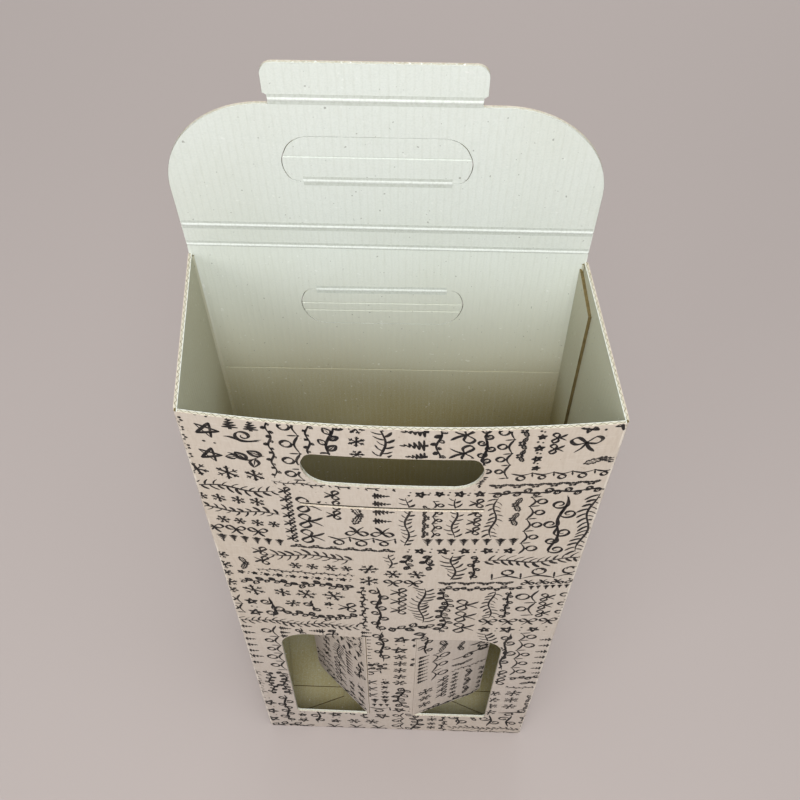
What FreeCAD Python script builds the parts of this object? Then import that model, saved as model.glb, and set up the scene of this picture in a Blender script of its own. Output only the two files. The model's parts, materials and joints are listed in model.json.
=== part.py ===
import FreeCAD, Part
import math
import os

from FreeCAD import Placement, Rotation, Vector

# Bottle shipping box: one die-cut sheet of micro-flute board, folded into a tube for two bottles.
# Millimetres. X runs left to right, Y front to back, Z up. The origin is the middle of the underside.

# Board and the ways it is cut and creased
board = 1.6              # thickness of the board
fold_radius = 1.8        # outside of a sharp upright or bottom fold
bottom_fold_bite = 0.05  # the rounding of a bottom fold cuts this deep into the faces it joins
crease_gap = 0.2         # between two boards that turn on each other at a crease
kerf = 0.3               # knife line around a flap that swings out of its hole
groove_width = 1.0       # pressed crease that nothing turns on
groove_depth = 0.3

# Tube
width = 180.0            # outside, left to right
depth = 90.0             # outside, front to back
height = 385.0           # to the cut tops of the front and side panels
front_bow = 6.0          # bulge of the front panel at the middle of its top edge
mouth_rack = 9.0         # the front top edge stands this far to the right of the back one
pinch_crease_drop = 80.0  # crease across the back where the mouth starts to close in
cut_shift = -3.0         # holes, slit, windows and tab sit this far right of their panel's middle

# Glue flap, inside the right panel
glue_flap_width = 25.0
glue_flap_top_drop = 4.0    # below the side panel's top, at the fold
glue_flap_top_slope = 5.0   # further drop at the free edge
glue_flap_foot = 9.0        # its lower end, above the underside

# Hand hole with domed ends, cut in three layers that line up when the box is shut
handle_drop = 27.0       # from the ridge to each layer's hinge crease
handle_width = 77.0
handle_height = 23.5
handle_hinge_inset = 2.9   # each end's corner at the hinge, from the hole's widest place
handle_hinge_radius = 5.0
handle_dome_drop = 9.5     # the widest place, below the hinge
handle_dome_reach = 1.1    # the dome's own corner before it is rounded, past the widest place
handle_dome_radius = 14.0
handle_free_inset = 4.6    # the corner at the free edge, from the widest place
handle_free_radius = 11.0
front_flap_fold = 60.0   # degrees that the front layer's flap is pushed in
lid_flap_crease = 13.0   # crease across the lid layer's flap, from its hinge
wrap_crease_first = 9.0  # creases across the back layer's flap, from its hinge
wrap_crease_second = 14.0

# Lid
back_rise = 6.0          # first lid crease above the side panels' tops
ridge_width = 12.6       # strip between the two lid creases
lid_inset = 0.5          # lid edge inside the back panel's fold, each side
lid_corner_radius = 44.0
lid_lean = 4.0           # degrees that the open lid leans forward

# Tuck tab and its slit in the front panel
slit_drop = 68.0         # from the ridge to the slit, and to the tab's crease
slit_width = 82.0
slit_height = 1.8
tab_neck = 2.5           # board between the lid's end and the tab's crease
tab_neck_play = 0.5      # the neck is narrower than the slit by this, each side
tab_shoulder = 1.0       # the tab is wider than the slit by this, each side
tab_shoulder_start = 2.0  # where the shoulders start, from the crease
tab_length = 16.0
tab_corner_radius = 5.0

# Windows and the divider flaps cut from them
pillar_width = 30.5      # board left between the two windows
window_width = 49.5
window_height = 138.0
window_bottom = 34.0
window_top_radius = 18.0
window_foot_radius = 3.0
divider_foot_radius = 10.0
divider_left_fold = 42.0   # degrees that each divider flap is pushed in
divider_right_fold = 22.0
divider_swing = 100.0      # the most that a divider flap turns from shut

# Interlocking bottom: four flaps in layers
layer_gap = 0.15         # between two boards that lie on each other
flap_play = 0.6          # between a bottom flap's side and the wall it passes
side_flap_reach = 50.0
side_flap_taper = 20.0   # drawn in at each end of a side flap's tip
back_flap_reach = 60.0
back_flap_taper = 12.0
front_flap_lap = 7.0     # the front flap reaches this far past the middle of the box
front_flap_shoulder = 22.0  # the front flap's end is wider than its tongue by this, each side
tongue_play = 1.5        # tongue to the side flaps and to the notch, each side
tongue_ramp = 10.0       # length over which the tongue climbs through the notch
tongue_rest = 18.0       # length of tongue that lies on the back flap
tongue_corner_radius = 6.0

# Worked out from the sizes above
half_board = board / 2
half_rack = mouth_rack / 2
first_crease_height = height + back_rise
lid_width = width - 2 * lid_inset
tab_crease = ridge_width + slit_drop
lid_end = tab_crease - tab_neck
handle_in_lid = ridge_width + handle_drop
handle_level = first_crease_height - handle_drop
slit_level = first_crease_height - slit_drop
tongue_half_width = width / 2 - board - side_flap_reach - tongue_play
divider_hinge = pillar_width / 2
handle_crease_end = handle_width / 2 - handle_hinge_inset + abs(cut_shift)
hinge_sag = front_bow * handle_level / height * (2 * handle_crease_end / width) ** 2  # bulge lost at the crease's end
cut_reach = 30.0         # how far a cutting tool stands out of the board it cuts


# Sheets and creases

def corner_arc(before, here, after, radius):
    """The two ends and the middle of the arc that rounds one corner of an outline."""
    to_before = (before - here).normalize()
    to_after = (after - here).normalize()
    middle_way = (to_before + to_after).normalize()
    half_angle = to_before.getAngle(middle_way)
    along = radius / math.tan(half_angle)
    to_centre = radius / math.sin(half_angle)
    return here + to_before * along, here + middle_way * (to_centre - radius), here + to_after * along


def rounded_wire(corners):
    """A closed outline in a panel's own plane, from corners (across, up, radius)."""
    points = [Vector(across, 0, up) for across, up, _ in corners]
    count = len(points)
    stops = []
    for i, (_, _, radius) in enumerate(corners):
        if radius > 0:
            stops.append(corner_arc(points[i - 1], points[i], points[(i + 1) % count], radius))
        else:
            stops.append((points[i], None, points[i]))
    edges = []
    for i, (start, middle, end) in enumerate(stops):
        if middle is not None:
            edges.append(Part.Arc(start, middle, end).toShape())
        following = stops[(i + 1) % count][0]
        if end.distanceToPoint(following) > 1e-6:
            edges.append(Part.makeLine(end, following))
    return Part.Wire(edges)


def plate(corners, low, high):
    """A flat solid with that outline, from low to high across the board."""
    face = Part.Face(rounded_wire(corners))
    face.translate(Vector(0, low, 0))
    return face.extrude(Vector(0, high - low, 0))


def sheet(corners):
    """A piece of board, centred on its own plane."""
    return plate(corners, -half_board, half_board)


def cutter(corners):
    """A tool that cuts right through a board."""
    return plate(corners, -cut_reach, cut_reach)


def block(low, high):
    """A rectangular solid between two corners."""
    size = high - low
    return Part.makeBox(size.x, size.y, size.z, low)


def rounded_edge(length):
    """The half-round edge on which a board turns, along X, centred on its crease."""
    return Part.makeCylinder(half_board, length, Vector(-length / 2, 0, 0), Vector(1, 0, 0))


def groove(length, up, face, reach=groove_depth):
    """A pressed crease along X: face is the board's surface, on the side that reach points to."""
    low = min(face, face - reach)
    return Part.makeBox(length, abs(reach), groove_width, Vector(-length / 2, low, up - groove_width / 2))


# Places of the panels

def front_frame():
    """Middle of the front panel's bottom edge, leaning with the bulge and the rack."""
    lean = math.degrees(math.atan2(front_bow, height))
    roll = math.degrees(math.atan2(half_rack, height))
    turn = Rotation(Vector(1, 0, 0), lean) * Rotation(Vector(0, 1, 0), roll)
    return Placement(Vector(0, -depth / 2 + half_board, 0), turn)


def back_frame():
    """Middle of the back panel's bottom edge, leaning with the rack."""
    roll = math.degrees(math.atan2(-half_rack, height))
    return Placement(Vector(0, depth / 2 - half_board, 0), Rotation(Vector(0, 1, 0), roll))


def lid_frame():
    """Middle of the first lid crease; up runs along the open lid."""
    place = Vector(-half_rack, depth / 2 - half_board, first_crease_height)
    return Placement(place, Rotation(Vector(1, 0, 0), lid_lean))


def placed(shape, frame, offset=Vector(0, 0, 0), turn=Rotation()):
    """The shape turned about its own origin, set at offset in the frame."""
    moved = shape.copy()
    moved.Placement = frame.multiply(Placement(offset, turn)).multiply(moved.Placement)
    return moved


# Tube

def panel_line(start, end, bulge):
    """One straight or bowed edge of the tube's section; the bow goes to the front."""
    if bulge < 1e-6:
        return Part.makeLine(start, end)
    middle = (start + end) * 0.5 - Vector(0, bulge, 0)
    return Part.Arc(start, middle, end).toShape()


def section_corners(level, inset):
    """Corners of the section at a share of the height: front left, front right, back right, back left."""
    rack = half_rack * level
    slant = rack / (depth / 2)
    side = inset * math.hypot(1.0, slant)
    corners = []
    for x_sign, y_sign in ((-1, -1), (1, -1), (1, 1), (-1, 1)):
        y = y_sign * (depth / 2 - inset)
        x = x_sign * (width / 2 - side) - slant * y
        corners.append(Vector(x, y, height * level))
    return corners


def inner_section(level):
    """The inside of the tube at a share of the height."""
    front_left, front_right, back_right, back_left = section_corners(level, board)
    return Part.Wire([
        panel_line(front_left, front_right, front_bow * level),
        panel_line(front_right, back_right, 0),
        panel_line(back_right, back_left, 0),
        panel_line(back_left, front_left, 0),
    ])


def outer_section(level):
    """The outside of the tube, with the glued seam's step at the back right corner."""
    front_left, front_right, back_right, back_left = section_corners(level, 0)
    left_front = corner_arc(back_left, front_left, front_right, fold_radius)
    right_front = corner_arc(front_left, front_right, back_right, fold_radius)
    left_back = corner_arc(back_right, back_left, front_left, fold_radius)
    toward_front = (front_right - back_right).normalize()
    across = Vector(-1, 0, 0)
    right_end = back_right + toward_front * fold_radius
    seam = right_end + across * board
    seam_corner = back_right + across * board
    seam_back = seam_corner + across * fold_radius
    seam_middle = corner_arc(seam, seam_corner, seam_back, fold_radius)[1]
    return Part.Wire([
        panel_line(left_front[2], right_front[0], front_bow * level),
        Part.Arc(*right_front).toShape(),
        panel_line(right_front[2], right_end, 0),
        panel_line(right_end, seam, 0),
        Part.Arc(seam, seam_middle, seam_back).toShape(),
        panel_line(seam_back, left_back[0], 0),
        Part.Arc(*left_back).toShape(),
        panel_line(left_back[2], left_front[0], 0),
        Part.Arc(*left_front).toShape(),
    ])


def tube_walls():
    """Front, back and side panels, from the flat bottom to the racked and bowed mouth."""
    outside = Part.makeLoft([outer_section(0.0), outer_section(1.0)], True, True)
    inside = Part.makeLoft([inner_section(0.0), inner_section(1.0)], True, True)
    return outside.cut(inside)


def glue_section(level):
    """The glue flap's section; it reaches into the walls that it is glued and folded to."""
    _, front_right, start, _ = section_corners(level, half_board)
    end = start + (front_right - start).normalize() * (half_board + glue_flap_width)
    inward = Vector(-(board + half_board), 0, 0)
    return Part.makePolygon([start, end, end + inward, start + inward, start])


def glue_flap():
    """Flap on the back panel's right edge, glued inside the right panel, drawn in at its top."""
    flap = Part.makeLoft([glue_section(0.0), glue_section(1.0)], True, True)
    fold_y = depth / 2 - board
    free_y = fold_y - glue_flap_width
    top = height - glue_flap_top_drop
    slope = glue_flap_top_slope / glue_flap_width
    near = depth / 2 + 1
    far = free_y - cut_reach
    waste = Part.Face(Part.makePolygon([
        Vector(0, near, top + slope * (near - fold_y)),
        Vector(0, far, top + slope * (far - fold_y)),
        Vector(0, far, height + cut_reach),
        Vector(0, near, height + cut_reach),
        Vector(0, near, top + slope * (near - fold_y)),
    ])).extrude(Vector(width, 0, 0))
    foot = block(Vector(0, far, -1), Vector(width, near, glue_flap_foot))
    return flap.cut(waste).cut(foot)


def back_top():
    """The back panel above the side panels' tops, up to the first lid crease."""
    top = back_rise - half_board - crease_gap
    corners = [(-lid_width / 2, -half_board, 0), (lid_width / 2, -half_board, 0),
               (lid_width / 2, top, 0), (-lid_width / 2, top, 0)]
    return placed(sheet(corners), Placement(Vector(-half_rack, depth / 2 - half_board, height), Rotation()))


def bottom_edge_tool(length):
    """What a bottom fold's rounding takes off a square edge that runs along X."""
    square = Part.makeBox(length, fold_radius + 1, fold_radius + 1, Vector(-length / 2, -1, -1))
    centre = Vector(-length / 2, fold_radius, fold_radius)
    return square.cut(Part.makeCylinder(fold_radius + bottom_fold_bite, length, centre, Vector(1, 0, 0)))


def round_bottom_edges(body):
    """Round the four folds round the underside."""
    long_tool = bottom_edge_tool(width + 2)
    short_tool = bottom_edge_tool(depth + 2)
    spots = ((long_tool, Vector(0, -depth / 2, 0), 0), (long_tool, Vector(0, depth / 2, 0), 180),
             (short_tool, Vector(-width / 2, 0, 0), -90), (short_tool, Vector(width / 2, 0, 0), 90))
    for tool, place, turn in spots:
        body = body.cut(placed(tool, Placement(place, Rotation(Vector(0, 0, 1), turn))))
    return body


# Interlocking bottom

def layer(number):
    """Underside of one layer of the bottom, counted from the ground."""
    return number * (board + layer_gap)


def flat_plate(corners, underside, thickness=board):
    """A board that lies flat, from corners (across, back, radius)."""
    face = Part.Face(rounded_wire(corners))
    face.rotate(Vector(0, 0, 0), Vector(1, 0, 0), -90)
    face.translate(Vector(0, 0, underside))
    return face.extrude(Vector(0, 0, thickness))


def side_bottom_flap(sign):
    """The bottom flap of the left (-1) or right (+1) panel, drawn in towards its tip."""
    root = sign * (width / 2 - half_board)
    tip = sign * (width / 2 - board - side_flap_reach)
    far = depth / 2 - board - flap_play
    corners = [(root, -far, 0), (root, far, 0),
               (tip, far - side_flap_taper, 0), (tip, -far + side_flap_taper, 0)]
    return flat_plate(corners, layer(1))


def back_bottom_flap():
    """The back panel's bottom flap, with the notch that the tongue comes up through."""
    root = depth / 2 - half_board
    tip = depth / 2 - board - back_flap_reach
    far = width / 2 - board - flap_play
    notch = tongue_half_width + tongue_play
    notch_end = tongue_notch_end()
    corners = [(-far, root, 0), (far, root, 0), (far - back_flap_taper, tip, 0), (notch, tip, 0),
               (notch, notch_end, 0), (-notch, notch_end, 0), (-notch, tip, 0), (-far + back_flap_taper, tip, 0)]
    return flat_plate(corners, layer(2))


def tongue_notch_end():
    """The edge of the notch that the tongue bears on, clear of the climbing board."""
    return front_flap_lap + tongue_ramp + board


def front_bottom_flap():
    """The front panel's bottom flap, on the ground."""
    root = -depth / 2 + half_board
    tip = front_flap_lap
    far = width / 2 - board - flap_play
    near = tongue_half_width + front_flap_shoulder
    return flat_plate([(-far, root, 0), (-near, tip, 0), (near, tip, 0), (far, root, 0)], layer(0))


def lock_tongue():
    """The tongue that climbs from the front flap through the notch and lies on the back flap."""
    start = front_flap_lap
    top = layer(3)
    climb_end = start + tongue_ramp
    tip = climb_end + tongue_rest
    profile = [Vector(0, start - board, 0), Vector(0, start, 0), Vector(0, climb_end, top), Vector(0, tip, top),
               Vector(0, tip, top + board), Vector(0, climb_end - half_board, top + board),
               Vector(0, start - half_board, board), Vector(0, start - board, board)]
    face = Part.Face(Part.makePolygon(profile + profile[:1]))
    strip = face.extrude(Vector(2 * tongue_half_width, 0, 0))
    strip.translate(Vector(-tongue_half_width, 0, 0))
    outline = [(-tongue_half_width, start - board - 1, 0), (tongue_half_width, start - board - 1, 0),
               (tongue_half_width, tip, tongue_corner_radius), (-tongue_half_width, tip, tongue_corner_radius)]
    return strip.common(flat_plate(outline, -half_board, top + 3 * board))


# Cuts in the tube

def hand_outline(shrink, hinge_up):
    """The hand hole below its hinge crease; a flap is smaller by the knife line on its free sides."""
    half = handle_width / 2 - shrink
    foot = -(handle_height - shrink)
    right = [(half - handle_hinge_inset, hinge_up, handle_hinge_radius),
             (half + handle_dome_reach, -handle_dome_drop, handle_dome_radius),
             (half - handle_free_inset, foot, handle_free_radius)]
    left = [(-across, up, radius) for across, up, radius in reversed(right)]
    return right + left


def hand_hole():
    """The tool that cuts a hand hole, its hinge crease at the origin."""
    return cutter(hand_outline(0, crease_gap))


def window_outline(side, inner, outer, foot, head, foot_radius, head_radius):
    """A window or its flap on the left (-1) or right (+1) of the pillar."""
    return [(side * inner, foot, 0), (side * outer, foot, foot_radius),
            (side * outer, head, head_radius), (side * inner, head, 0)]


def window_cutter(side):
    """The tool for one window, with the seat on which the divider flap turns."""
    outer = divider_hinge + window_width
    head = window_bottom + window_height
    opening = cutter(window_outline(side, divider_hinge, outer, window_bottom, head,
                                    window_foot_radius, window_top_radius))
    seat_radius = half_board + crease_gap
    place = Vector(side * divider_hinge, 0, window_bottom)
    seat = Part.makeCylinder(seat_radius, window_height, place)
    over = math.radians(divider_swing - 90)
    relief = half_board / math.cos(over) + half_board * math.tan(max(over, 0)) + crease_gap
    inner_low = min(side * (divider_hinge - relief), side * divider_hinge)
    room = Part.makeBox(relief, cut_reach, window_height, Vector(inner_low, 0, window_bottom))
    return opening.fuse([seat, room])


def slit_cutter():
    """The tool for the slit that takes the tuck tab."""
    half = slit_width / 2
    low = slit_level - slit_height / 2
    high = low + slit_height
    return cutter([(-half, low, 0), (half, low, 0), (half, high, 0), (-half, high, 0)])


def box_body():
    """The folded tube with its bottom, all one piece."""
    body = tube_walls().fuse([glue_flap(), back_top()])
    body = round_bottom_edges(body)
    floor = [side_bottom_flap(-1), side_bottom_flap(1), back_bottom_flap(), front_bottom_flap(), lock_tongue()]
    body = body.fuse(floor).removeSplitter()
    front = front_frame()
    front_cuts = [
        placed(hand_hole(), front, Vector(cut_shift, 0, handle_level)),
        placed(slit_cutter(), front, Vector(cut_shift, 0, 0)),
        placed(window_cutter(-1), front, Vector(cut_shift, 0, 0)),
        placed(window_cutter(1), front, Vector(cut_shift, 0, 0)),
    ]
    back = back_frame()
    back_cuts = [
        placed(hand_hole(), back, Vector(cut_shift, 0, handle_level)),
        placed(groove(width - 4 * board, height - pinch_crease_drop, -half_board, -groove_depth), back),
    ]
    body = body.cut(front_cuts + back_cuts)
    return only_solid(body)


def only_solid(shape):
    """The shape's one solid."""
    solids = shape.Solids
    if len(solids) != 1:
        raise ValueError("expected one solid, found %d" % len(solids))
    return solids[0]


# Lid

def lid_ridge():
    """The strip that becomes the top ridge of the shut box."""
    top = ridge_width - half_board - crease_gap
    half = lid_width / 2
    strip = sheet([(-half, 0, 0), (half, 0, 0), (half, top, 0), (-half, top, 0)])
    return strip.fuse(rounded_edge(lid_width)).removeSplitter()


def lid_panel():
    """The lid itself, with its round corners, its hand hole and the tab's neck."""
    half = lid_width / 2
    neck_left = cut_shift - slit_width / 2 + tab_neck_play
    neck_right = cut_shift + slit_width / 2 - tab_neck_play
    end = lid_end - ridge_width
    neck_end = tab_crease - ridge_width - half_board - crease_gap
    corners = [(-half, 0, 0), (half, 0, 0), (half, end, lid_corner_radius), (neck_right, end, 0),
               (neck_right, neck_end, 0), (neck_left, neck_end, 0), (neck_left, end, 0),
               (-half, end, lid_corner_radius)]
    panel = sheet(corners).fuse(rounded_edge(lid_width)).removeSplitter()
    hole = placed(hand_hole(), Placement(), Vector(cut_shift, 0, handle_drop), Rotation(Vector(0, 1, 0), 180))
    return panel.cut(hole)


def tuck_tab():
    """The locking tab; its shoulders are wider than the slit."""
    neck = slit_width / 2 - tab_neck_play
    shoulder = slit_width / 2 + tab_shoulder
    corners = [(-neck, 0, 0), (neck, 0, 0), (neck, tab_shoulder_start, 0), (shoulder, tab_shoulder_start + 1, 0),
               (shoulder, tab_length, tab_corner_radius), (-shoulder, tab_length, tab_corner_radius),
               (-shoulder, tab_shoulder_start + 1, 0), (-neck, tab_shoulder_start, 0)]
    return sheet(corners).fuse(rounded_edge(2 * neck)).removeSplitter()


# Flaps of the hand holes; each turns on the inner face of its own layer

def hand_flap(low, high, creases, crease_face, reach):
    """A hand hole's flap, its hinge at the origin, from low to high across the board."""
    flap = plate(hand_outline(kerf, 0), low, high)
    for crease in creases:
        flap = flap.cut(groove(handle_width, -crease, crease_face, reach))
    return flap


def front_handle_flap():
    """The front layer's flap, pushed in."""
    flap = hand_flap(-board, 0, (), 0, 0)
    place = Vector(cut_shift, half_board + hinge_sag, handle_level)
    return placed(flap, front_frame(), place, Rotation(Vector(1, 0, 0), front_flap_fold))


def back_handle_flap():
    """The back layer's flap, still shut, creased to wrap round the other layers."""
    flap = hand_flap(0, board, (wrap_crease_first, wrap_crease_second), 0, -groove_depth)
    return placed(flap, back_frame(), Vector(cut_shift, -half_board, handle_level))


def lid_handle_flap():
    """The lid layer's flap, still shut; on the open lid it stands above its hinge."""
    flap = hand_flap(-board, 0, (lid_flap_crease,), 0, groove_depth)
    return placed(flap, lid_frame(), Vector(cut_shift, -half_board, handle_in_lid), Rotation(Vector(1, 0, 0), 180))


# Divider flaps

def divider_flap(side, fold):
    """A window's flap, folded in to stand between the bottles."""
    outer = window_width - kerf
    foot = window_bottom + kerf
    head = window_bottom + window_height - kerf
    board_part = sheet(window_outline(side, 0, outer, foot, head, divider_foot_radius, window_top_radius - kerf))
    edge = Part.makeCylinder(half_board, head - foot, Vector(0, 0, foot))
    flap = board_part.fuse(edge).removeSplitter()
    place = Vector(side * divider_hinge + cut_shift, 0, 0)
    return placed(flap, front_frame(), place, Rotation(Vector(0, 0, 1), side * fold))


def build():
    """Every node of the box, by name."""
    lid = lid_frame()
    return {
        "box_body": box_body(),
        "lid_ridge": placed(lid_ridge(), lid),
        "lid_panel": placed(lid_panel(), lid, Vector(0, 0, ridge_width)),
        "tuck_tab": placed(tuck_tab(), lid, Vector(cut_shift, 0, tab_crease)),
        "lid_handle_flap": lid_handle_flap(),
        "back_handle_flap": back_handle_flap(),
        "front_handle_flap": front_handle_flap(),
        "divider_flap_left": divider_flap(-1, divider_left_fold),
        "divider_flap_right": divider_flap(1, divider_right_fold),
    }


os.makedirs("parts", exist_ok=True)
for name, shape in build().items():
    only_solid(shape).exportStep("parts/%s.step" % name)
    print(name, "volume %.1f" % shape.Volume, "valid", shape.isValid())
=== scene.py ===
"""Looks of the bottle shipping box: its board, cut edges, creases, print and studio."""

from __future__ import annotations

import json
import logging
import math
from dataclasses import dataclass
from enum import Enum
from typing import Callable, Iterable, Optional, Sequence

import bpy
import numpy as np
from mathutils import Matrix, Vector
from mathutils.bvhtree import BVHTree

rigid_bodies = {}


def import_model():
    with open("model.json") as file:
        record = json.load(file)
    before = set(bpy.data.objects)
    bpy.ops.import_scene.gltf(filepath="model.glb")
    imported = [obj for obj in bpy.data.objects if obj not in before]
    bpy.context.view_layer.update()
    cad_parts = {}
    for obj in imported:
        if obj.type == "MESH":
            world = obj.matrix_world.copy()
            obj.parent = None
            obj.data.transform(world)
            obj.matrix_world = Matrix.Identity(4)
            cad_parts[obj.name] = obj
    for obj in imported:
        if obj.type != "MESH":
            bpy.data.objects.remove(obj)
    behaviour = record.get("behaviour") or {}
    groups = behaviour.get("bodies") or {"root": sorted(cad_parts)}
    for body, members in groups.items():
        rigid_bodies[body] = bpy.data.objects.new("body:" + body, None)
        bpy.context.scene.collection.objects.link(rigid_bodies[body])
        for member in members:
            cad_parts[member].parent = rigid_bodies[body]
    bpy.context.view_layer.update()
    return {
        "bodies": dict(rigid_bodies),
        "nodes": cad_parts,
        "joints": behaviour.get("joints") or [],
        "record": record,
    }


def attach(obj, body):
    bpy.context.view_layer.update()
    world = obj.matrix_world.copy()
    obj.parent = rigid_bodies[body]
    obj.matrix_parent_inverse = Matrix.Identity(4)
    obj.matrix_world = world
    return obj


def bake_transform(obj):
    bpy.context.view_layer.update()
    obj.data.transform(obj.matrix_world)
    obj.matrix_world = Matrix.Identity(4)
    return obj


LOG = logging.getLogger("bottle_box")

MM = 0.001
SEED = 4107
PEN_WEIGHT = 1.7
NIB_ANGLE = 38.0
NIB_THIN = 0.34
TAPER_SHARE = 0.18

Point = tuple[float, float]
Corner = tuple[float, float, float]
Color = tuple[float, float, float]
Socket = bpy.types.NodeSocket
Material = bpy.types.Material
Line = Sequence[Point] | np.ndarray


# ---------------------------------------------------------------------------
# Sizes, in millimetres, as in the part's own source
# ---------------------------------------------------------------------------


@dataclass(frozen=True)
class BoxSizes:
    """The sizes of the folded box that the looks have to follow."""

    board: float = 1.6
    width: float = 180.0
    depth: float = 90.0
    height: float = 385.0
    front_bow: float = 6.0
    mouth_rack: float = 9.0
    back_rise: float = 6.0
    ridge_width: float = 12.6
    lid_lean: float = 4.0
    lid_inset: float = 0.5
    lid_corner_radius: float = 44.0
    slit_drop: float = 68.0
    slit_width: float = 82.0
    slit_height: float = 1.8
    tab_neck: float = 2.5
    tab_length: float = 16.0
    tab_corner_radius: float = 5.0
    tab_neck_relief: float = 0.5
    tab_wing: float = 1.0
    cut_shift: float = -3.0
    handle_drop: float = 27.0
    handle_width: float = 77.0
    handle_height: float = 23.5
    hand_hinge_inset: float = 2.9
    hand_belly: float = 1.1
    hand_belly_drop: float = 9.5
    hand_foot_inset: float = 4.6
    hand_radii: tuple[float, float, float] = (5.0, 14.0, 11.0)
    pillar_width: float = 30.5
    window_width: float = 49.5
    window_height: float = 138.0
    window_bottom: float = 34.0
    divider_left_fold: float = 42.0
    divider_right_fold: float = 22.0
    front_flap_fold: float = 60.0
    crease_gap: float = 0.2
    kerf: float = 0.3

    @property
    def half_board(self) -> float:
        """Half the board's thickness."""
        return self.board / 2

    @property
    def first_crease(self) -> float:
        """Height of the crease between the back panel and the ridge."""
        return self.height + self.back_rise

    @property
    def handle_level(self) -> float:
        """Height of the hinge creases of the front and back hand holes."""
        return self.first_crease - self.handle_drop

    @property
    def slit_level(self) -> float:
        """Height of the slit in the front panel."""
        return self.first_crease - self.slit_drop

    @property
    def tab_crease(self) -> float:
        """The tab's crease, from the first lid crease."""
        return self.ridge_width + self.slit_drop

    @property
    def lid_end(self) -> float:
        """The lid's cut end beside the tab, from the first lid crease."""
        return self.tab_crease - self.tab_neck

    @property
    def lid_half(self) -> float:
        """Half the lid's width."""
        return self.width / 2 - self.lid_inset


SIZES = BoxSizes()


@dataclass(frozen=True)
class Frame:
    """A panel's own frame: a point on its middle plane and three directions."""

    origin: Vector
    across: Vector
    up: Vector
    out: Vector

    def at(self, across: float, up: float, out: float = 0.0) -> Vector:
        """The point in the row frame, in millimetres."""
        return self.origin + self.across * across + self.up * up + self.out * out

    def moved(self, across: float, up: float, out: float = 0.0) -> "Frame":
        """The same frame with its origin moved."""
        return Frame(self.at(across, up, out), self.across, self.up, self.out)


def turned(vector: Vector, axis: Vector, degrees: float) -> Vector:
    """A vector turned about an axis.

    Args:
        vector: What is turned.
        axis: The unit axis it turns about.
        degrees: How far, right-handed.

    Returns:
        The turned vector.
    """
    angle = math.radians(degrees)
    cos, sin = math.cos(angle), math.sin(angle)
    return vector * cos + axis.cross(vector) * sin + axis * axis.dot(vector) * (1 - cos)


def front_frame() -> Frame:
    """The front panel's frame, leaning with the bulge and the rack.

    Returns:
        The frame.
    """
    lean = math.degrees(math.atan2(SIZES.front_bow, SIZES.height))
    roll = math.degrees(math.atan2(SIZES.mouth_rack / 2, SIZES.height))
    x_axis, y_axis = Vector((1, 0, 0)), Vector((0, 1, 0))
    axes = [turned(turned(v, y_axis, roll), x_axis, lean)
            for v in (Vector((1, 0, 0)), Vector((0, 0, 1)), Vector((0, -1, 0)))]
    return Frame(Vector((0, -SIZES.depth / 2 + SIZES.half_board, 0)), *axes)


def back_frame() -> Frame:
    """The back panel's frame, leaning with the rack; out points to the back.

    Returns:
        The frame.
    """
    roll = math.degrees(math.atan2(-SIZES.mouth_rack / 2, SIZES.height))
    y_axis = Vector((0, 1, 0))
    axes = [turned(v, y_axis, roll) for v in (Vector((1, 0, 0)), Vector((0, 0, 1)))]
    return Frame(Vector((0, SIZES.depth / 2 - SIZES.half_board, 0)), *axes, y_axis)


def lid_frame() -> Frame:
    """The open lid's frame, from the first lid crease; out points to the back.

    Returns:
        The frame.
    """
    x_axis = Vector((1, 0, 0))
    middle = SIZES.depth / 2 - SIZES.half_board
    place = Vector((-SIZES.mouth_rack / 2, middle, SIZES.first_crease))
    up = turned(Vector((0, 0, 1)), x_axis, SIZES.lid_lean)
    out = turned(Vector((0, 1, 0)), x_axis, SIZES.lid_lean)
    return Frame(place, x_axis, up, out)


def divider_frame(side: int) -> Frame:
    """A divider flap's frame: across runs from its crease to its free edge.

    Args:
        side: -1 for the left flap, 1 for the right one.

    Returns:
        The frame.
    """
    front = front_frame()
    fold = SIZES.divider_left_fold if side < 0 else SIZES.divider_right_fold
    hinge = front.moved(side * SIZES.pillar_width / 2 + SIZES.cut_shift, 0)
    across = turned(front.across * side, front.up, side * fold)
    out = turned(front.out, front.up, side * fold)
    return Frame(hinge.origin, across, front.up, out)


def front_flap_frame() -> Frame:
    """The front hand hole's flap, pushed in; up runs from its free edge to its hinge.

    Returns:
        The frame.
    """
    front = front_frame()
    crease_end = SIZES.handle_width / 2 - SIZES.hand_hinge_inset + abs(SIZES.cut_shift)
    bow = SIZES.front_bow * SIZES.handle_level / SIZES.height
    sag = bow * (2 * crease_end / SIZES.width) ** 2
    hinge = front.at(SIZES.cut_shift, SIZES.handle_level, -(SIZES.half_board + sag))
    up = turned(front.up, front.across, SIZES.front_flap_fold)
    out = turned(front.out, front.across, SIZES.front_flap_fold)
    return Frame(hinge, front.across, up, out)


# ---------------------------------------------------------------------------
# Outlines
# ---------------------------------------------------------------------------


def spin(angle: float) -> np.ndarray:
    """The matrix that turns a flat point by an angle in radians."""
    return np.array([[math.cos(angle), -math.sin(angle)], [math.sin(angle), math.cos(angle)]])


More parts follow.
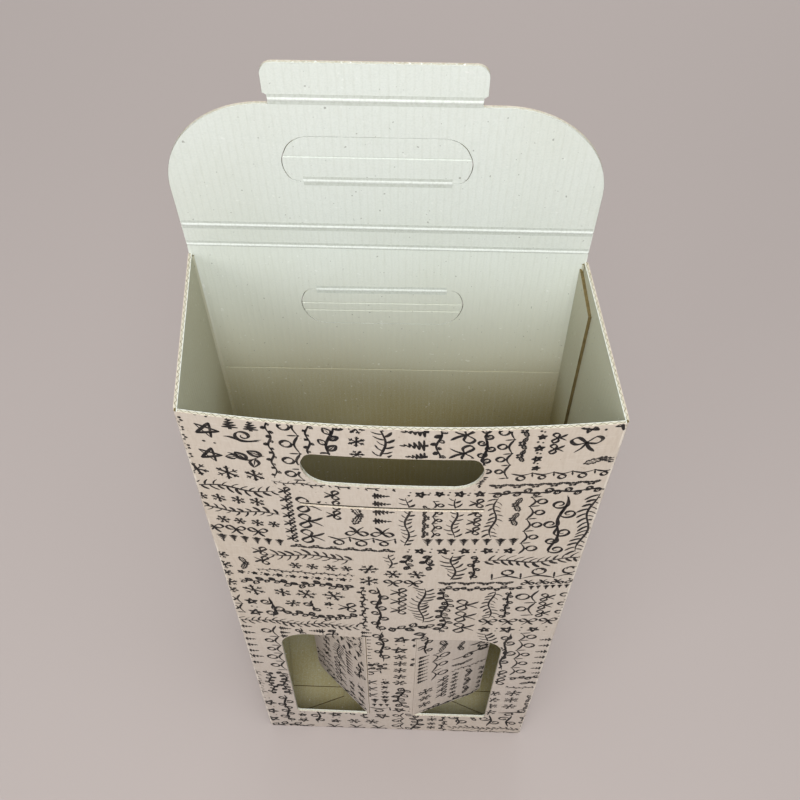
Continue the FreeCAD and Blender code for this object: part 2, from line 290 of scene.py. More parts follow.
def rounded_outline(corners: Sequence[Corner], step: float) -> list[Point]:
    """A closed outline with rounded corners, as points at even steps.

    Args:
        corners: Across, up and radius of each corner.
        step: Longest distance between points.

    Returns:
        The points, without the first one again at the end.
    """
    raw: list[np.ndarray] = []
    count = len(corners)
    for i, (x, y, radius) in enumerate(corners):
        here = np.array([x, y], float)
        if radius <= 0:
            raw.append(here)
            continue
        before = np.array(corners[i - 1][:2], float) - here
        after = np.array(corners[(i + 1) % count][:2], float) - here
        before /= np.linalg.norm(before)
        after /= np.linalg.norm(after)
        middle = before + after
        middle /= np.linalg.norm(middle)
        half = math.acos(float(np.clip(before @ middle, -1, 1)))
        centre = here + middle * radius / math.sin(half)
        start = here + before * radius / math.tan(half) - centre
        end = here + after * radius / math.tan(half) - centre
        sweep = math.atan2(start[0] * end[1] - start[1] * end[0], float(start @ end))
        stops = max(3, int(abs(sweep) * radius / step))
        for k in range(stops + 1):
            raw.append(centre + spin(sweep * k / stops) @ start)
    points: list[Point] = []
    for i, point in enumerate(raw):
        following = raw[(i + 1) % len(raw)]
        pieces = max(1, int(np.linalg.norm(following - point) / step))
        for k in range(pieces):
            where = point + (following - point) * k / pieces
            points.append((float(where[0]), float(where[1])))
    return points


def hand_outline(shrink: float, hinge_up: float) -> list[Corner]:
    """The hand hole's corners below its hinge, as the part's source has them.

    Args:
        shrink: How much smaller than the hole the outline is, all round.
        hinge_up: Height of its upper edge over the hinge.

    Returns:
        Across, up and radius of each corner.
    """
    s = SIZES
    half = s.handle_width / 2 - shrink
    hinge_radius, belly_radius, foot_radius = s.hand_radii
    right = [(half - s.hand_hinge_inset, hinge_up, hinge_radius),
             (half + s.hand_belly, -s.hand_belly_drop, belly_radius),
             (half - s.hand_foot_inset, -(s.handle_height - shrink), foot_radius)]
    return right + [(-x, y, r) for x, y, r in reversed(right)]


def window_outline(side: int, shrink: float, foot_radius: float,
                   head_radius: float) -> list[Corner]:
    """A window's or its flap's corners, from the pillar outwards.

    Args:
        side: -1 for the left window, 1 for the right one.
        shrink: How much smaller than the window the outline is.
        foot_radius: Radius of its lower outer corner.
        head_radius: Radius of its upper outer corner.

    Returns:
        Across, up and radius of each corner.
    """
    outer = side * (SIZES.window_width - shrink)
    foot = SIZES.window_bottom + shrink
    head = SIZES.window_bottom + SIZES.window_height - shrink
    return [(0, foot, 0), (outer, foot, foot_radius), (outer, head, head_radius), (0, head, 0)]


# ---------------------------------------------------------------------------
# Materials
# ---------------------------------------------------------------------------


def linear(color: Color) -> tuple[float, float, float, float]:
    """A colour from display values, 0 to 255, as linear RGBA.

    Args:
        color: The display values.

    Returns:
        Red, green, blue and alpha.
    """
    parts = [c / 255 for c in color]
    parts = [c / 12.92 if c <= 0.04045 else ((c + 0.055) / 1.055) ** 2.4 for c in parts]
    return parts[0], parts[1], parts[2], 1.0


class Graph:
    """A material's node tree, with short calls for the nodes used here."""

    def __init__(self, name: str) -> None:
        """Starts an empty tree.

        Args:
            name: The material's name.
        """
        self.material = bpy.data.materials.new(name)
        self.material.use_nodes = True
        self.tree = self.material.node_tree
        self.tree.nodes.clear()
        self.coords = self.tree.nodes.new("ShaderNodeTexCoord")

    @property
    def place(self) -> Socket:
        """The point in the object's own coordinates, in metres."""
        return self.coords.outputs["Object"]

    @property
    def normal(self) -> Socket:
        """The face's direction in the object's own coordinates."""
        return self.coords.outputs["Normal"]

    def put(self, socket: Socket, value: object) -> None:
        """Sets a socket to a number, a colour or another socket.

        Args:
            socket: The input.
            value: What it gets.
        """
        if isinstance(value, Socket):
            self.tree.links.new(value, socket)
        else:
            socket.default_value = value

    def math(self, operation: str, *values: object) -> Socket:
        """The result of a Math node.

        Args:
            operation: The node's operation.
            *values: Its inputs.

        Returns:
            The result.
        """
        node = self.tree.nodes.new("ShaderNodeMath")
        node.operation = operation
        for i, value in enumerate(values):
            self.put(node.inputs[i], value)
        return node.outputs[0]

    def plus(self, first: object, second: object) -> Socket:
        """The sum."""
        return self.math("ADD", first, second)

    def minus(self, first: object, second: object) -> Socket:
        """The difference."""
        return self.math("SUBTRACT", first, second)

    def times(self, first: object, second: object) -> Socket:
        """The product."""
        return self.math("MULTIPLY", first, second)

    def size(self, value: object) -> Socket:
        """The value without its sign."""
        return self.math("ABSOLUTE", value)

    def above(self, value: object, limit: float) -> Socket:
        """1 where the value is over the limit, 0 elsewhere."""
        return self.math("GREATER_THAN", value, limit)

    def below(self, value: object, limit: float) -> Socket:
        """1 where the value is under the limit, 0 elsewhere."""
        return self.math("LESS_THAN", value, limit)

    def other(self, share: object) -> Socket:
        """What is left of 1."""
        return self.minus(1.0, share)

    def blend(self, share: object, first: object, second: object) -> Socket:
        """A mix of two colours.

        Args:
            share: Share of the second.
            first: The first colour.
            second: The second colour.

        Returns:
            The mix.
        """
        node = self.tree.nodes.new("ShaderNodeMix")
        node.data_type = "RGBA"
        for name, value in zip(("Factor", "A", "B"), (share, first, second)):
            self.put(next(s for s in node.inputs
                          if s.name == name and (name == "Factor" or s.type == "RGBA")), value)
        return next(s for s in node.outputs if s.type == "RGBA")

    def split(self, vector: Socket) -> tuple[Socket, ...]:
        """X, Y and Z of a vector.

        Args:
            vector: The vector.

        Returns:
            The three numbers.
        """
        node = self.tree.nodes.new("ShaderNodeSeparateXYZ")
        self.put(node.inputs[0], vector)
        return tuple(node.outputs)

    def dot(self, vector: Socket, fixed: Vector) -> Socket:
        """The dot product with a fixed direction.

        Args:
            vector: The vector.
            fixed: The direction.

        Returns:
            The product.
        """
        node = self.tree.nodes.new("ShaderNodeVectorMath")
        node.operation = "DOT_PRODUCT"
        self.put(node.inputs[0], vector)
        self.put(node.inputs[1], tuple(fixed))
        return node.outputs["Value"]

    def noise(self, scale: tuple[float, float, float], detail: float, seed: float) -> Socket:
        """Noise from 0 to 1, with its own scale along each axis, per metre.

        Args:
            scale: The scale along each axis.
            detail: How many finer layers it has.
            seed: Where in the noise it starts.

        Returns:
            The noise.
        """
        mapping = self.tree.nodes.new("ShaderNodeMapping")
        self.put(mapping.inputs["Vector"], self.place)
        self.put(mapping.inputs["Scale"], scale)
        self.put(mapping.inputs["Location"], (seed, seed * 0.7, seed * 1.3))
        node = self.tree.nodes.new("ShaderNodeTexNoise")
        self.put(node.inputs["Vector"], mapping.outputs[0])
        self.put(node.inputs["Scale"], 1.0)
        self.put(node.inputs["Detail"], detail)
        return node.outputs[0]

    def ramp(self, value: object, low: float, high: float) -> Socket:
        """0 below low, 1 above high, smooth between.

        Args:
            value: The value.
            low: Where the rise starts.
            high: Where it ends.

        Returns:
            The share.
        """
        node = self.tree.nodes.new("ShaderNodeMapRange")
        node.interpolation_type = "SMOOTHSTEP"
        self.put(node.inputs["Value"], value)
        self.put(node.inputs["From Min"], low)
        self.put(node.inputs["From Max"], high)
        return node.outputs[0]

    def finish(self, color: object, roughness: object, height: Optional[object] = None,
               depth: float = 0.0, specular: float = 0.25) -> Material:
        """Joins up the shader.

        Args:
            color: Base colour.
            roughness: Roughness.
            height: Height for the bump, or None.
            depth: Height of the bump, in metres.
            specular: Specular level.

        Returns:
            The finished material.
        """
        shader = self.tree.nodes.new("ShaderNodeBsdfPrincipled")
        self.put(shader.inputs["Base Color"], color)
        self.put(shader.inputs["Roughness"], roughness)
        shader.inputs["Specular IOR Level"].default_value = specular
        if height is not None:
            bump = self.tree.nodes.new("ShaderNodeBump")
            bump.inputs["Strength"].default_value = 1.0
            bump.inputs["Distance"].default_value = depth
            self.put(bump.inputs["Height"], height)
            self.tree.links.new(bump.outputs[0], shader.inputs["Normal"])
        output = self.tree.nodes.new("ShaderNodeOutputMaterial")
        self.tree.links.new(shader.outputs[0], output.inputs[0])
        return self.material


class Wall(Enum):
    """How a board face tells its outside from its inside."""

    TUBE = "tube"
    FLAT = "flat"


class Pattern(Enum):
    """What the board's tints follow: a noise's scale on each axis, its detail and its seed."""

    PATCHES = ((14, 14, 9), 3.0, 3.1)
    FIBRES = ((900, 900, 160), 3.0, 1.7)
    CROSS_FIBRES = ((180, 180, 1100), 2.0, 5.3)
    SPECKS = ((620, 620, 620), 1.0, 8.9)
    PALE_SPECKS = ((480, 480, 480), 1.0, 2.2)
    MOTTLE = ((1300, 1300, 1300), 2.0, 3.7)
    RUB = ((300, 300, 90), 3.0, 9.1)
    DENTS = ((60, 60, 40), 2.0, 6.6)
    FLUTES = ()


@dataclass(frozen=True)
class Tint:
    """A colour laid over the liner where a pattern rises from low to high."""

    pattern: Pattern
    low: float
    high: float
    strength: float
    color: Color


@dataclass(frozen=True)
class BoardFinish:
    """Micro-flute board: kraft liner outside, pale recycled liner inside, brown fluting in cuts.

    Lengths are in millimetres and colours are display values. The two fades are heights in
    metres: where the painted shade starts, and where it is full. The outside is painted darker
    towards the bottom; the inside is painted olive shade low in the box and on sideways faces.
    """

    outer: Color = (200, 189, 176)
    # Painted shade: the outside's colour low on the box, darker than higher up.
    outer_painted_shade: Color = (188, 177, 168)
    outer_rub: Color = (229, 221, 208)
    inner: Color = (224, 229, 222)
    # Painted shade: the inside's colour low in the box, dark olive as shade and bounced light would
    # make it.
    inner_painted_shade: Color = (164, 150, 100)
    # Share of that painted shade on inside faces that look sideways.
    side_painted_shade: float = 0.6
    cut: Color = (116, 102, 66)
    cut_dark: Color = (92, 80, 48)
    outer_tints: tuple[Tint, ...] = (
        Tint(Pattern.PATCHES, 0.35, 0.70, 0.35, (194, 179, 160)),
        Tint(Pattern.FIBRES, 0.42, 0.72, 0.30, (180, 165, 148)),
        Tint(Pattern.CROSS_FIBRES, 0.50, 0.75, 0.22, (218, 210, 200)),
        Tint(Pattern.SPECKS, 0.73, 0.79, 0.35, (128, 104, 78)),
    )
    inner_tints: tuple[Tint, ...] = (
        Tint(Pattern.PATCHES, 0.35, 0.70, 0.25, (205, 208, 190)),
        Tint(Pattern.FIBRES, 0.45, 0.75, 0.10, (188, 190, 172)),
        Tint(Pattern.MOTTLE, 0.42, 0.68, 0.22, (200, 208, 200)),
        # Painted shade: darker stripes along the flutes, where the washboard's ridges would shade
        # the liner.
        Tint(Pattern.FLUTES, 0.55, 1.00, 0.10, (192, 196, 182)),
        Tint(Pattern.SPECKS, 0.73, 0.79, 0.55, (112, 110, 100)),
        Tint(Pattern.PALE_SPECKS, 0.72, 0.80, 0.35, (246, 248, 244)),
    )
    relief: tuple[tuple[Pattern, float], ...] = (
        (Pattern.FIBRES, 0.55), (Pattern.CROSS_FIBRES, 0.35), (Pattern.DENTS, 1.1))
    flute_relief: float = 0.22
    relief_depth: float = 0.12
    flute_pitch: float = 3.2
    roughness: float = 0.76
    rub_strength: float = 0.75
    liner_start: float = 0.45
    liner_end: float = 0.86
    side_zone: float = 1.2
    wall_zone: float = 2.2
    side_start: float = 82.0
    floor_top: float = 7.0
    facing_limit: float = 0.45
    side_limit: float = 0.4
    on_side_limit: float = 0.6
    # Heights where the outside's painted shade starts and is full, then the same for the inside's.
    outer_shade_fade: tuple[float, float] = (0.30, 0.02)
    inner_shade_fade: tuple[float, float] = (0.392, 0.25)
    fold_range: Point = (0.12, 0.32)
    rub_range: Point = (0.35, 0.6)
    cut_range: Point = (0.35, 0.7)
    rough_spread: float = 0.14
    floor_facing: float = 0.5

    def tube_depth(self, g: Graph) -> Socket:
        """How far out of the board's middle plane a point of the folded tube is.

        Args:
            g: The material's graph.

        Returns:
            The distance, in metres, outwards.
        """
        s = SIZES
        x, y, z = g.split(g.place)
        share = g.math("DIVIDE", z, s.height * MM)
        racked = g.plus(x, g.times(g.times(y, share), s.mouth_rack / s.depth))
        half_wide, half_deep = (s.width / 2 - s.half_board) * MM, (s.depth / 2 - s.half_board) * MM
        side = g.minus(g.size(racked), half_wide)
        curve = g.other(g.math("POWER", g.math("DIVIDE", racked, half_wide), 2.0))
        bow = g.times(g.times(curve, share), s.front_bow * MM)
        flat = g.minus(g.size(y), g.plus(half_deep, g.times(bow, g.below(y, 0.0))))
        near_side = g.above(side, -self.side_zone * MM)
        return g.plus(g.times(side, near_side), g.times(flat, g.other(near_side)))

    def depth_side(self, g: Graph, rule: Wall, panel: Optional[Frame]) -> Socket:
        """1 in the outer liner's thickness, -1 in the inner liner's, 0 in the fluting between.

        Args:
            g: The material's graph.
            rule: How the piece tells its sides apart.
            panel: The frame of a flat piece.

        Returns:
            The signed layer.
        """
        if rule is Wall.FLAT and panel is not None:
            depth = g.minus(g.dot(g.place, panel.out), panel.origin.dot(panel.out) * MM)
        else:
            depth = self.tube_depth(g)
        start, end = self.liner_start * MM, self.liner_end * MM
        return g.minus(g.above(depth, start), g.times(g.below(depth, -start), g.above(depth, -end)))

    def wall_side(self, g: Graph, rule: Wall, panel: Optional[Frame]) -> Socket:
        """1 on the outside, -1 on the inside, near 0 on a cut.

        Args:
            g: The material's graph.
            rule: How the piece tells its sides apart.
            panel: The frame of a flat piece.

        Returns:
            The signed side.
        """
        if rule is Wall.FLAT and panel is not None:
            return g.dot(g.normal, panel.out)
        x, y, z = g.split(g.place)
        nx, ny, nz = g.split(g.normal)
        near_wall = g.above(g.size(y), (SIZES.depth / 2 - self.wall_zone) * MM)
        front_back = g.times(g.times(ny, g.math("SIGN", y)), near_wall)
        sides = g.times(nx, g.math("SIGN", x))
        wall = g.plus(front_back, g.times(sides, g.above(g.size(x), self.side_start * MM)))
        floor = g.times(g.below(z, self.floor_top * MM),
                        g.above(g.size(nz), self.floor_facing))
        return g.minus(g.times(wall, g.other(floor)), g.times(floor, nz))

    def on_side(self, g: Graph) -> Socket:
        """1 where a face looks sideways."""
        return g.above(g.size(g.split(g.normal)[0]), self.on_side_limit)

    def flute_wave(self, g: Graph) -> Socket:
        """The washboard of the fluting under the liners.

        Args:
            g: The material's graph.

        Returns:
            The wave, from -1 to 1.
        """
        x, y, _ = g.split(g.place)
        on_side = self.on_side(g)
        along = g.plus(g.times(x, g.other(on_side)), g.times(y, on_side))
        return g.math("SINE", g.times(along, 2 * math.pi / (self.flute_pitch * MM)))

    def tinted(self, g: Graph, base: object, patterns: dict[Pattern, Socket],
               tints: Iterable[Tint]) -> Socket:
        """Lays tints over a liner's colour.

        Args:
            g: The material's graph.
            base: The colour under them.
            patterns: What each pattern gives.
            tints: The tints, in order.

        Returns:
            The colour.
        """
        for tint in tints:
            share = g.ramp(patterns[tint.pattern], tint.low, tint.high)
            base = g.blend(g.times(share, tint.strength), base, linear(tint.color))
        return base

    def make(self, name: str, rule: Wall, panel: Optional[Frame] = None) -> Material:
        """The board's material for one piece.

        Args:
            name: The material's name.
            rule: How the piece tells its outside from its inside.
            panel: The frame of a flat piece.

        Returns:
            The material.
        """
        g = Graph(name)
        facing = self.wall_side(g, rule, panel)
        is_face = g.above(g.size(facing), self.facing_limit)
        on_cut = g.times(self.depth_side(g, rule, panel), g.other(is_face))
        side = g.plus(g.times(facing, is_face), on_cut)
        patterns = {p: g.noise(*p.value) for p in Pattern if p.value}
        patterns[Pattern.FLUTES] = self.flute_wave(g)
        fibres = patterns[Pattern.FIBRES]
        _, _, z = g.split(g.place)
        nx, ny, _ = g.split(g.normal)

        # The outside's colour, with painted shade darker towards the bottom.
        outer = g.blend(g.ramp(z, *self.outer_shade_fade), linear(self.outer), linear(self.outer_painted_shade))
        outer = self.tinted(g, outer, patterns, self.outer_tints)
        if rule is Wall.TUBE:
            fold = g.ramp(g.times(g.size(nx), g.size(ny)), *self.fold_range)
            rub = g.times(fold, g.ramp(patterns[Pattern.RUB], *self.rub_range))
            outer = g.blend(g.times(rub, self.rub_strength), outer, linear(self.outer_rub))

        # Painted shade: the inside darkens to olive low in the box and on faces that look sideways.
        deep = g.math("MAXIMUM", g.ramp(z, *self.inner_shade_fade),
                      g.times(self.on_side(g), self.side_painted_shade))
        inner = g.blend(deep, linear(self.inner), linear(self.inner_painted_shade))
        inner = self.tinted(g, inner, patterns, self.inner_tints)

        color = g.blend(g.ramp(fibres, *self.cut_range), linear(self.cut), linear(self.cut_dark))
        color = g.blend(g.above(side, self.side_limit), color, outer)
        color = g.blend(g.below(side, -self.side_limit), color, inner)

        height = g.times(patterns[Pattern.FLUTES], self.flute_relief)
        for pattern, share in self.relief:
            height = g.plus(height, g.times(patterns[pattern], share))
        rough = g.plus(self.roughness, g.times(fibres, self.rough_spread))
        return g.finish(color, rough, height, self.relief_depth * MM)


@dataclass(frozen=True)
class InkFinish:
    """Black flexo ink, a little broken up by the fibres under it."""

    dark: Color = (30, 27, 27)
    thin: Color = (78, 70, 64)
    broken_range: Point = (0.5, 0.72)
    broken_share: float = 0.55
    cloudy_range: Point = (0.5, 0.7)
    cloudy_share: float = 0.25
    roughness: float = 0.55
    rough_spread: float = 0.25
    relief_depth: float = 0.04

    def make(self, name: str) -> Material:
        """The ink's material.

        Args:
            name: The material's name.

        Returns:
            The material.
        """
        g = Graph(name)
        broken = g.noise((700, 700, 500), 2.0, 1.1)
        cloudy = g.noise((40, 40, 40), 2.0, 7.7)
        share = g.plus(g.times(g.ramp(broken, *self.broken_range), self.broken_share),
                       g.times(g.ramp(cloudy, *self.cloudy_range), self.cloudy_share))
        color = g.blend(share, linear(self.dark), linear(self.thin))
        rough = g.plus(self.roughness, g.times(broken, self.rough_spread))
        return g.finish(color, rough, broken, self.relief_depth * MM)


@dataclass(frozen=True)
class PaperFinish:
    """Bare liner paper, as seen in beads, nicks and the liners of a cut."""

    color: Color
    dark: Color
    roughness: float = 0.85
    relief_depth: float = 0.05

    def make(self, name: str) -> Material:
        """The paper's material.

        Args:
            name: The material's name.

        Returns:
            The material.
        """
        g = Graph(name)
        fibres = g.noise((1100, 700, 700), 3.0, 2.9)
        color = g.blend(g.ramp(fibres, 0.35, 0.75), linear(self.color), linear(self.dark))
        return g.finish(color, self.roughness, fibres, self.relief_depth * MM)


class Palette:
    """Every shared finish of the box."""

    def __init__(self) -> None:
        """Makes the shared materials."""
        self.board = BoardFinish()
        self.ink = InkFinish().make("black_ink")
        self.pale_paper = self.paper("pale_liner_paper", (230, 235, 229), (218, 223, 215))
        # Darker liner paper: the fluting of crushed cuts, and painted shade on the flanks of the
        # inner crease beads.
        self.pressed_paper_and_shade = self.paper("pressed_liner_paper_and_painted_shade", (206, 211, 203), (194, 199, 189))
        self.shadow = self.paper("slit_shadow", (34, 29, 20), (24, 20, 14))
        self.tick = self.paper("flute_tick", (112, 100, 74), (84, 74, 52))
        self.crushed = self.paper("crushed_cut", (208, 204, 186), (186, 180, 158))
        self.kraft_paper = self.paper("kraft_liner_paper", (222, 210, 193), (196, 180, 156))
        self.medium = self.paper("flute_paper", (206, 194, 166), (176, 160, 128))
        self.gap = self.paper("flute_shadow", (146, 130, 102), (112, 94, 68))

    def paper(self, name: str, color: Color, dark: Color) -> Material:
        """One paper, from its two tones."""
        return PaperFinish(color, dark).make(name)


# ---------------------------------------------------------------------------
# Meshes
# ---------------------------------------------------------------------------


def metres(point: Vector) -> tuple[float, float, float]:
    """A point of the row frame in metres."""
    return point.x * MM, point.y * MM, point.z * MM


class MeshMaker:
    """Collects quads in millimetres and turns them into one object."""

    def __init__(self) -> None:
        """Starts with no faces."""
        self.points: list[tuple[float, float, float]] = []
        self.faces: list[tuple[int, ...]] = []
        self.slots: list[int] = []

    def add(self, rows: Sequence[Sequence[Vector]], slot: int = 0, closed: bool = False) -> None:
        """Adds a grid of points as quads.

        Args:
            rows: Rows of equally many points.
            slot: Material slot of the faces.
            closed: Whether the last row joins the first.
        """
        start = len(self.points)
        across = len(rows[0])
        for row in rows:
            self.points.extend(metres(p) for p in row)
        count = len(rows)
        for i in range(count if closed else count - 1):
            a, b = start + i * across, start + (i + 1) % count * across
            for k in range(across - 1):
                self.faces.append((a + k, a + k + 1, b + k + 1, b + k))
                self.slots.append(slot)

    def cap(self, row: Sequence[Vector]) -> None:
        """Adds one polygon in the first material slot.

        Args:
            row: Its corners.
        """
        start = len(self.points)
        self.points.extend(metres(p) for p in row)
        self.faces.append(tuple(range(start, start + len(row))))
        self.slots.append(0)

    def build(self, name: str, materials: Sequence[Material],
              smooth: bool = True) -> bpy.types.Object:
        """The finished object, in the scene.

        Args:
            name: The piece's name.
            materials: Its materials, by slot.
            smooth: Whether it is shaded smooth.

        Returns:
            The object.
        """
        mesh = bpy.data.meshes.new(name)
        mesh.from_pydata(self.points, [], self.faces)
        for material in materials:
            mesh.materials.append(material)
        mesh.polygons.foreach_set("material_index", self.slots)
        mesh.polygons.foreach_set("use_smooth", [smooth] * len(self.faces))
        mesh.update()
        piece = bpy.data.objects.new(name, mesh)
        bpy.context.scene.collection.objects.link(piece)
        LOG.info("%s: %d faces", name, len(self.faces))
        return piece


def set_on(piece: bpy.types.Object, body: str) -> None:
    """Sets a piece on its body."""
    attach(piece, body)


class Surfaces:
    """The CAD nodes' faces, for finding the board's surface under a piece."""

    face_on: float = 0.75

    def __init__(self, nodes: dict[str, bpy.types.Object]) -> None:
        """Builds a search tree for each node.

        Args:
            nodes: The CAD nodes by name.
        """
        self.trees: dict[str, BVHTree] = {}
        for name, node in nodes.items():
            points = [v.co / MM for v in node.data.vertices]
            faces = [tuple(p.vertices) for p in node.data.polygons]
            self.trees[name] = BVHTree.FromPolygons(points, faces)

    def drop(self, names: Iterable[str], start: Vector, way: Vector,
             reach: float) -> Optional[tuple[str, Vector]]:
        """The first of these nodes that a ray meets face on.

        Args:
            names: Names of the nodes.
            start: Where the ray starts, in millimetres.
            way: Its unit direction.
            reach: Its length.

        Returns:
            The node's name and the point, or None.
        """
        best: Optional[tuple[float, str, Vector, Vector]] = None
        for name in names:
            place, normal, _, distance = self.trees[name].ray_cast(start, way, reach)
            if place is not None and (best is None or distance < best[0]):
                best = (distance, name, place, normal)
        if best is None or best[3].dot(way) > -self.face_on:
            return None
        return best[1], best[2]


# ---------------------------------------------------------------------------
# Print
# ---------------------------------------------------------------------------


@dataclass
class Stroke:
    """One pen line: its points and the width at each, in millimetres."""

    points: np.ndarray
    widths: np.ndarray


def smooth_line(points: Line, step: float) -> np.ndarray:
    """A smooth line through the points, at even steps.

    Args:
        points: The points it goes through.
        step: Distance between the line's own points.

    Returns:
        The line as an N x 2 array.
    """
    p = np.array(points, float)
    if len(p) > 2:
        padded = np.vstack([2 * p[0] - p[1], p, 2 * p[-1] - p[-2]])
        t = np.linspace(0, 1, 8, endpoint=False)[:, None]
        rows = []
        for a, b, c, d in zip(padded, padded[1:], padded[2:], padded[3:]):
            square, cube = 2 * a - 5 * b + 4 * c - d, 3 * b - a - 3 * c + d
            rows.append(0.5 * (2 * b + (c - a) * t + square * t ** 2 + cube * t ** 3))
        p = np.vstack(rows + [p[-1:]])
    lengths = np.concatenate([[0], np.cumsum(np.linalg.norm(np.diff(p, axis=0), axis=1))])
    stops = np.linspace(0, lengths[-1], max(3, int(lengths[-1] / step) + 1))
    return np.column_stack([np.interp(stops, lengths, p[:, k]) for k in (0, 1)])


def directions(line: np.ndarray) -> np.ndarray:
    """The unit direction of a line at each of its points."""
    way = np.gradient(line, axis=0)
    return way / np.maximum(np.linalg.norm(way, axis=1), 1e-9)[:, None]


def pen(points: Line, weight: float, step: float = 0.9, taper: float = 0.25) -> Stroke:
    """A broad-nib line, thick across the nib and thin along it.

    Args:
        points: The points it goes through.
        weight: Its greatest width.
        step: Distance between its points.
        taper: Share of the width left at its ends.

    Returns:
        The stroke.
    """
    line = smooth_line(points, step)
    way = np.gradient(line, axis=0)
    heading = np.arctan2(way[:, 1], way[:, 0])
    across = np.abs(np.sin(heading - math.radians(NIB_ANGLE)))
    ends = np.minimum(np.linspace(0, 1, len(line)), np.linspace(1, 0, len(line)))
    fade = taper + (1 - taper) * np.clip(ends / TAPER_SHARE, 0, 1)
    return Stroke(line, PEN_WEIGHT * weight * (NIB_THIN + (1 - NIB_THIN) * across) * fade)


def ring(x: float, y: float, rx: float, ry: float, weight: float, start: float = 0.0,
         sweep: float = 360.0) -> Stroke:
    """An arc or a whole ring drawn with the pen.

    Args:
        x: Its centre.
        y: Its centre.
        rx: Half its width.
        ry: Half its height.
        weight: The pen's greatest width.
        start: Where it starts, in degrees.
        sweep: How far it goes, in degrees.

    Returns:
        The stroke.
    """
    angles = np.radians(np.linspace(start, start + sweep, 13))
    points = [(x + rx * math.cos(a), y + ry * math.sin(a)) for a in angles]
    return pen(points, weight, step=0.6, taper=0.7)


def dot(x: float, y: float, size: float) -> Stroke:
    """A filled round dot.

    Args:
        x: Its centre.
        y: Its centre.
        size: Its width.

    Returns:
        The stroke.
    """
    t = np.linspace(-1, 1, 7)
    line = np.column_stack([x + t * size / 2, np.full(7, y)])
    return Stroke(line, size * np.sqrt(np.clip(1 - t ** 2, 0.02, 1)))


class Motif(Enum):
    """The kinds of line ornament that the print is made of."""

    FIR = "fir garland"
    VINE = "leafy vine"
    STARS = "row of stars"
    SNOW = "row of snow crystals"
    BAUBLES = "swag of baubles"
    CURLS = "line of curls"
    TREES = "row of trees"
    HOLLY = "holly and berries"
    BOWS = "row of bows"


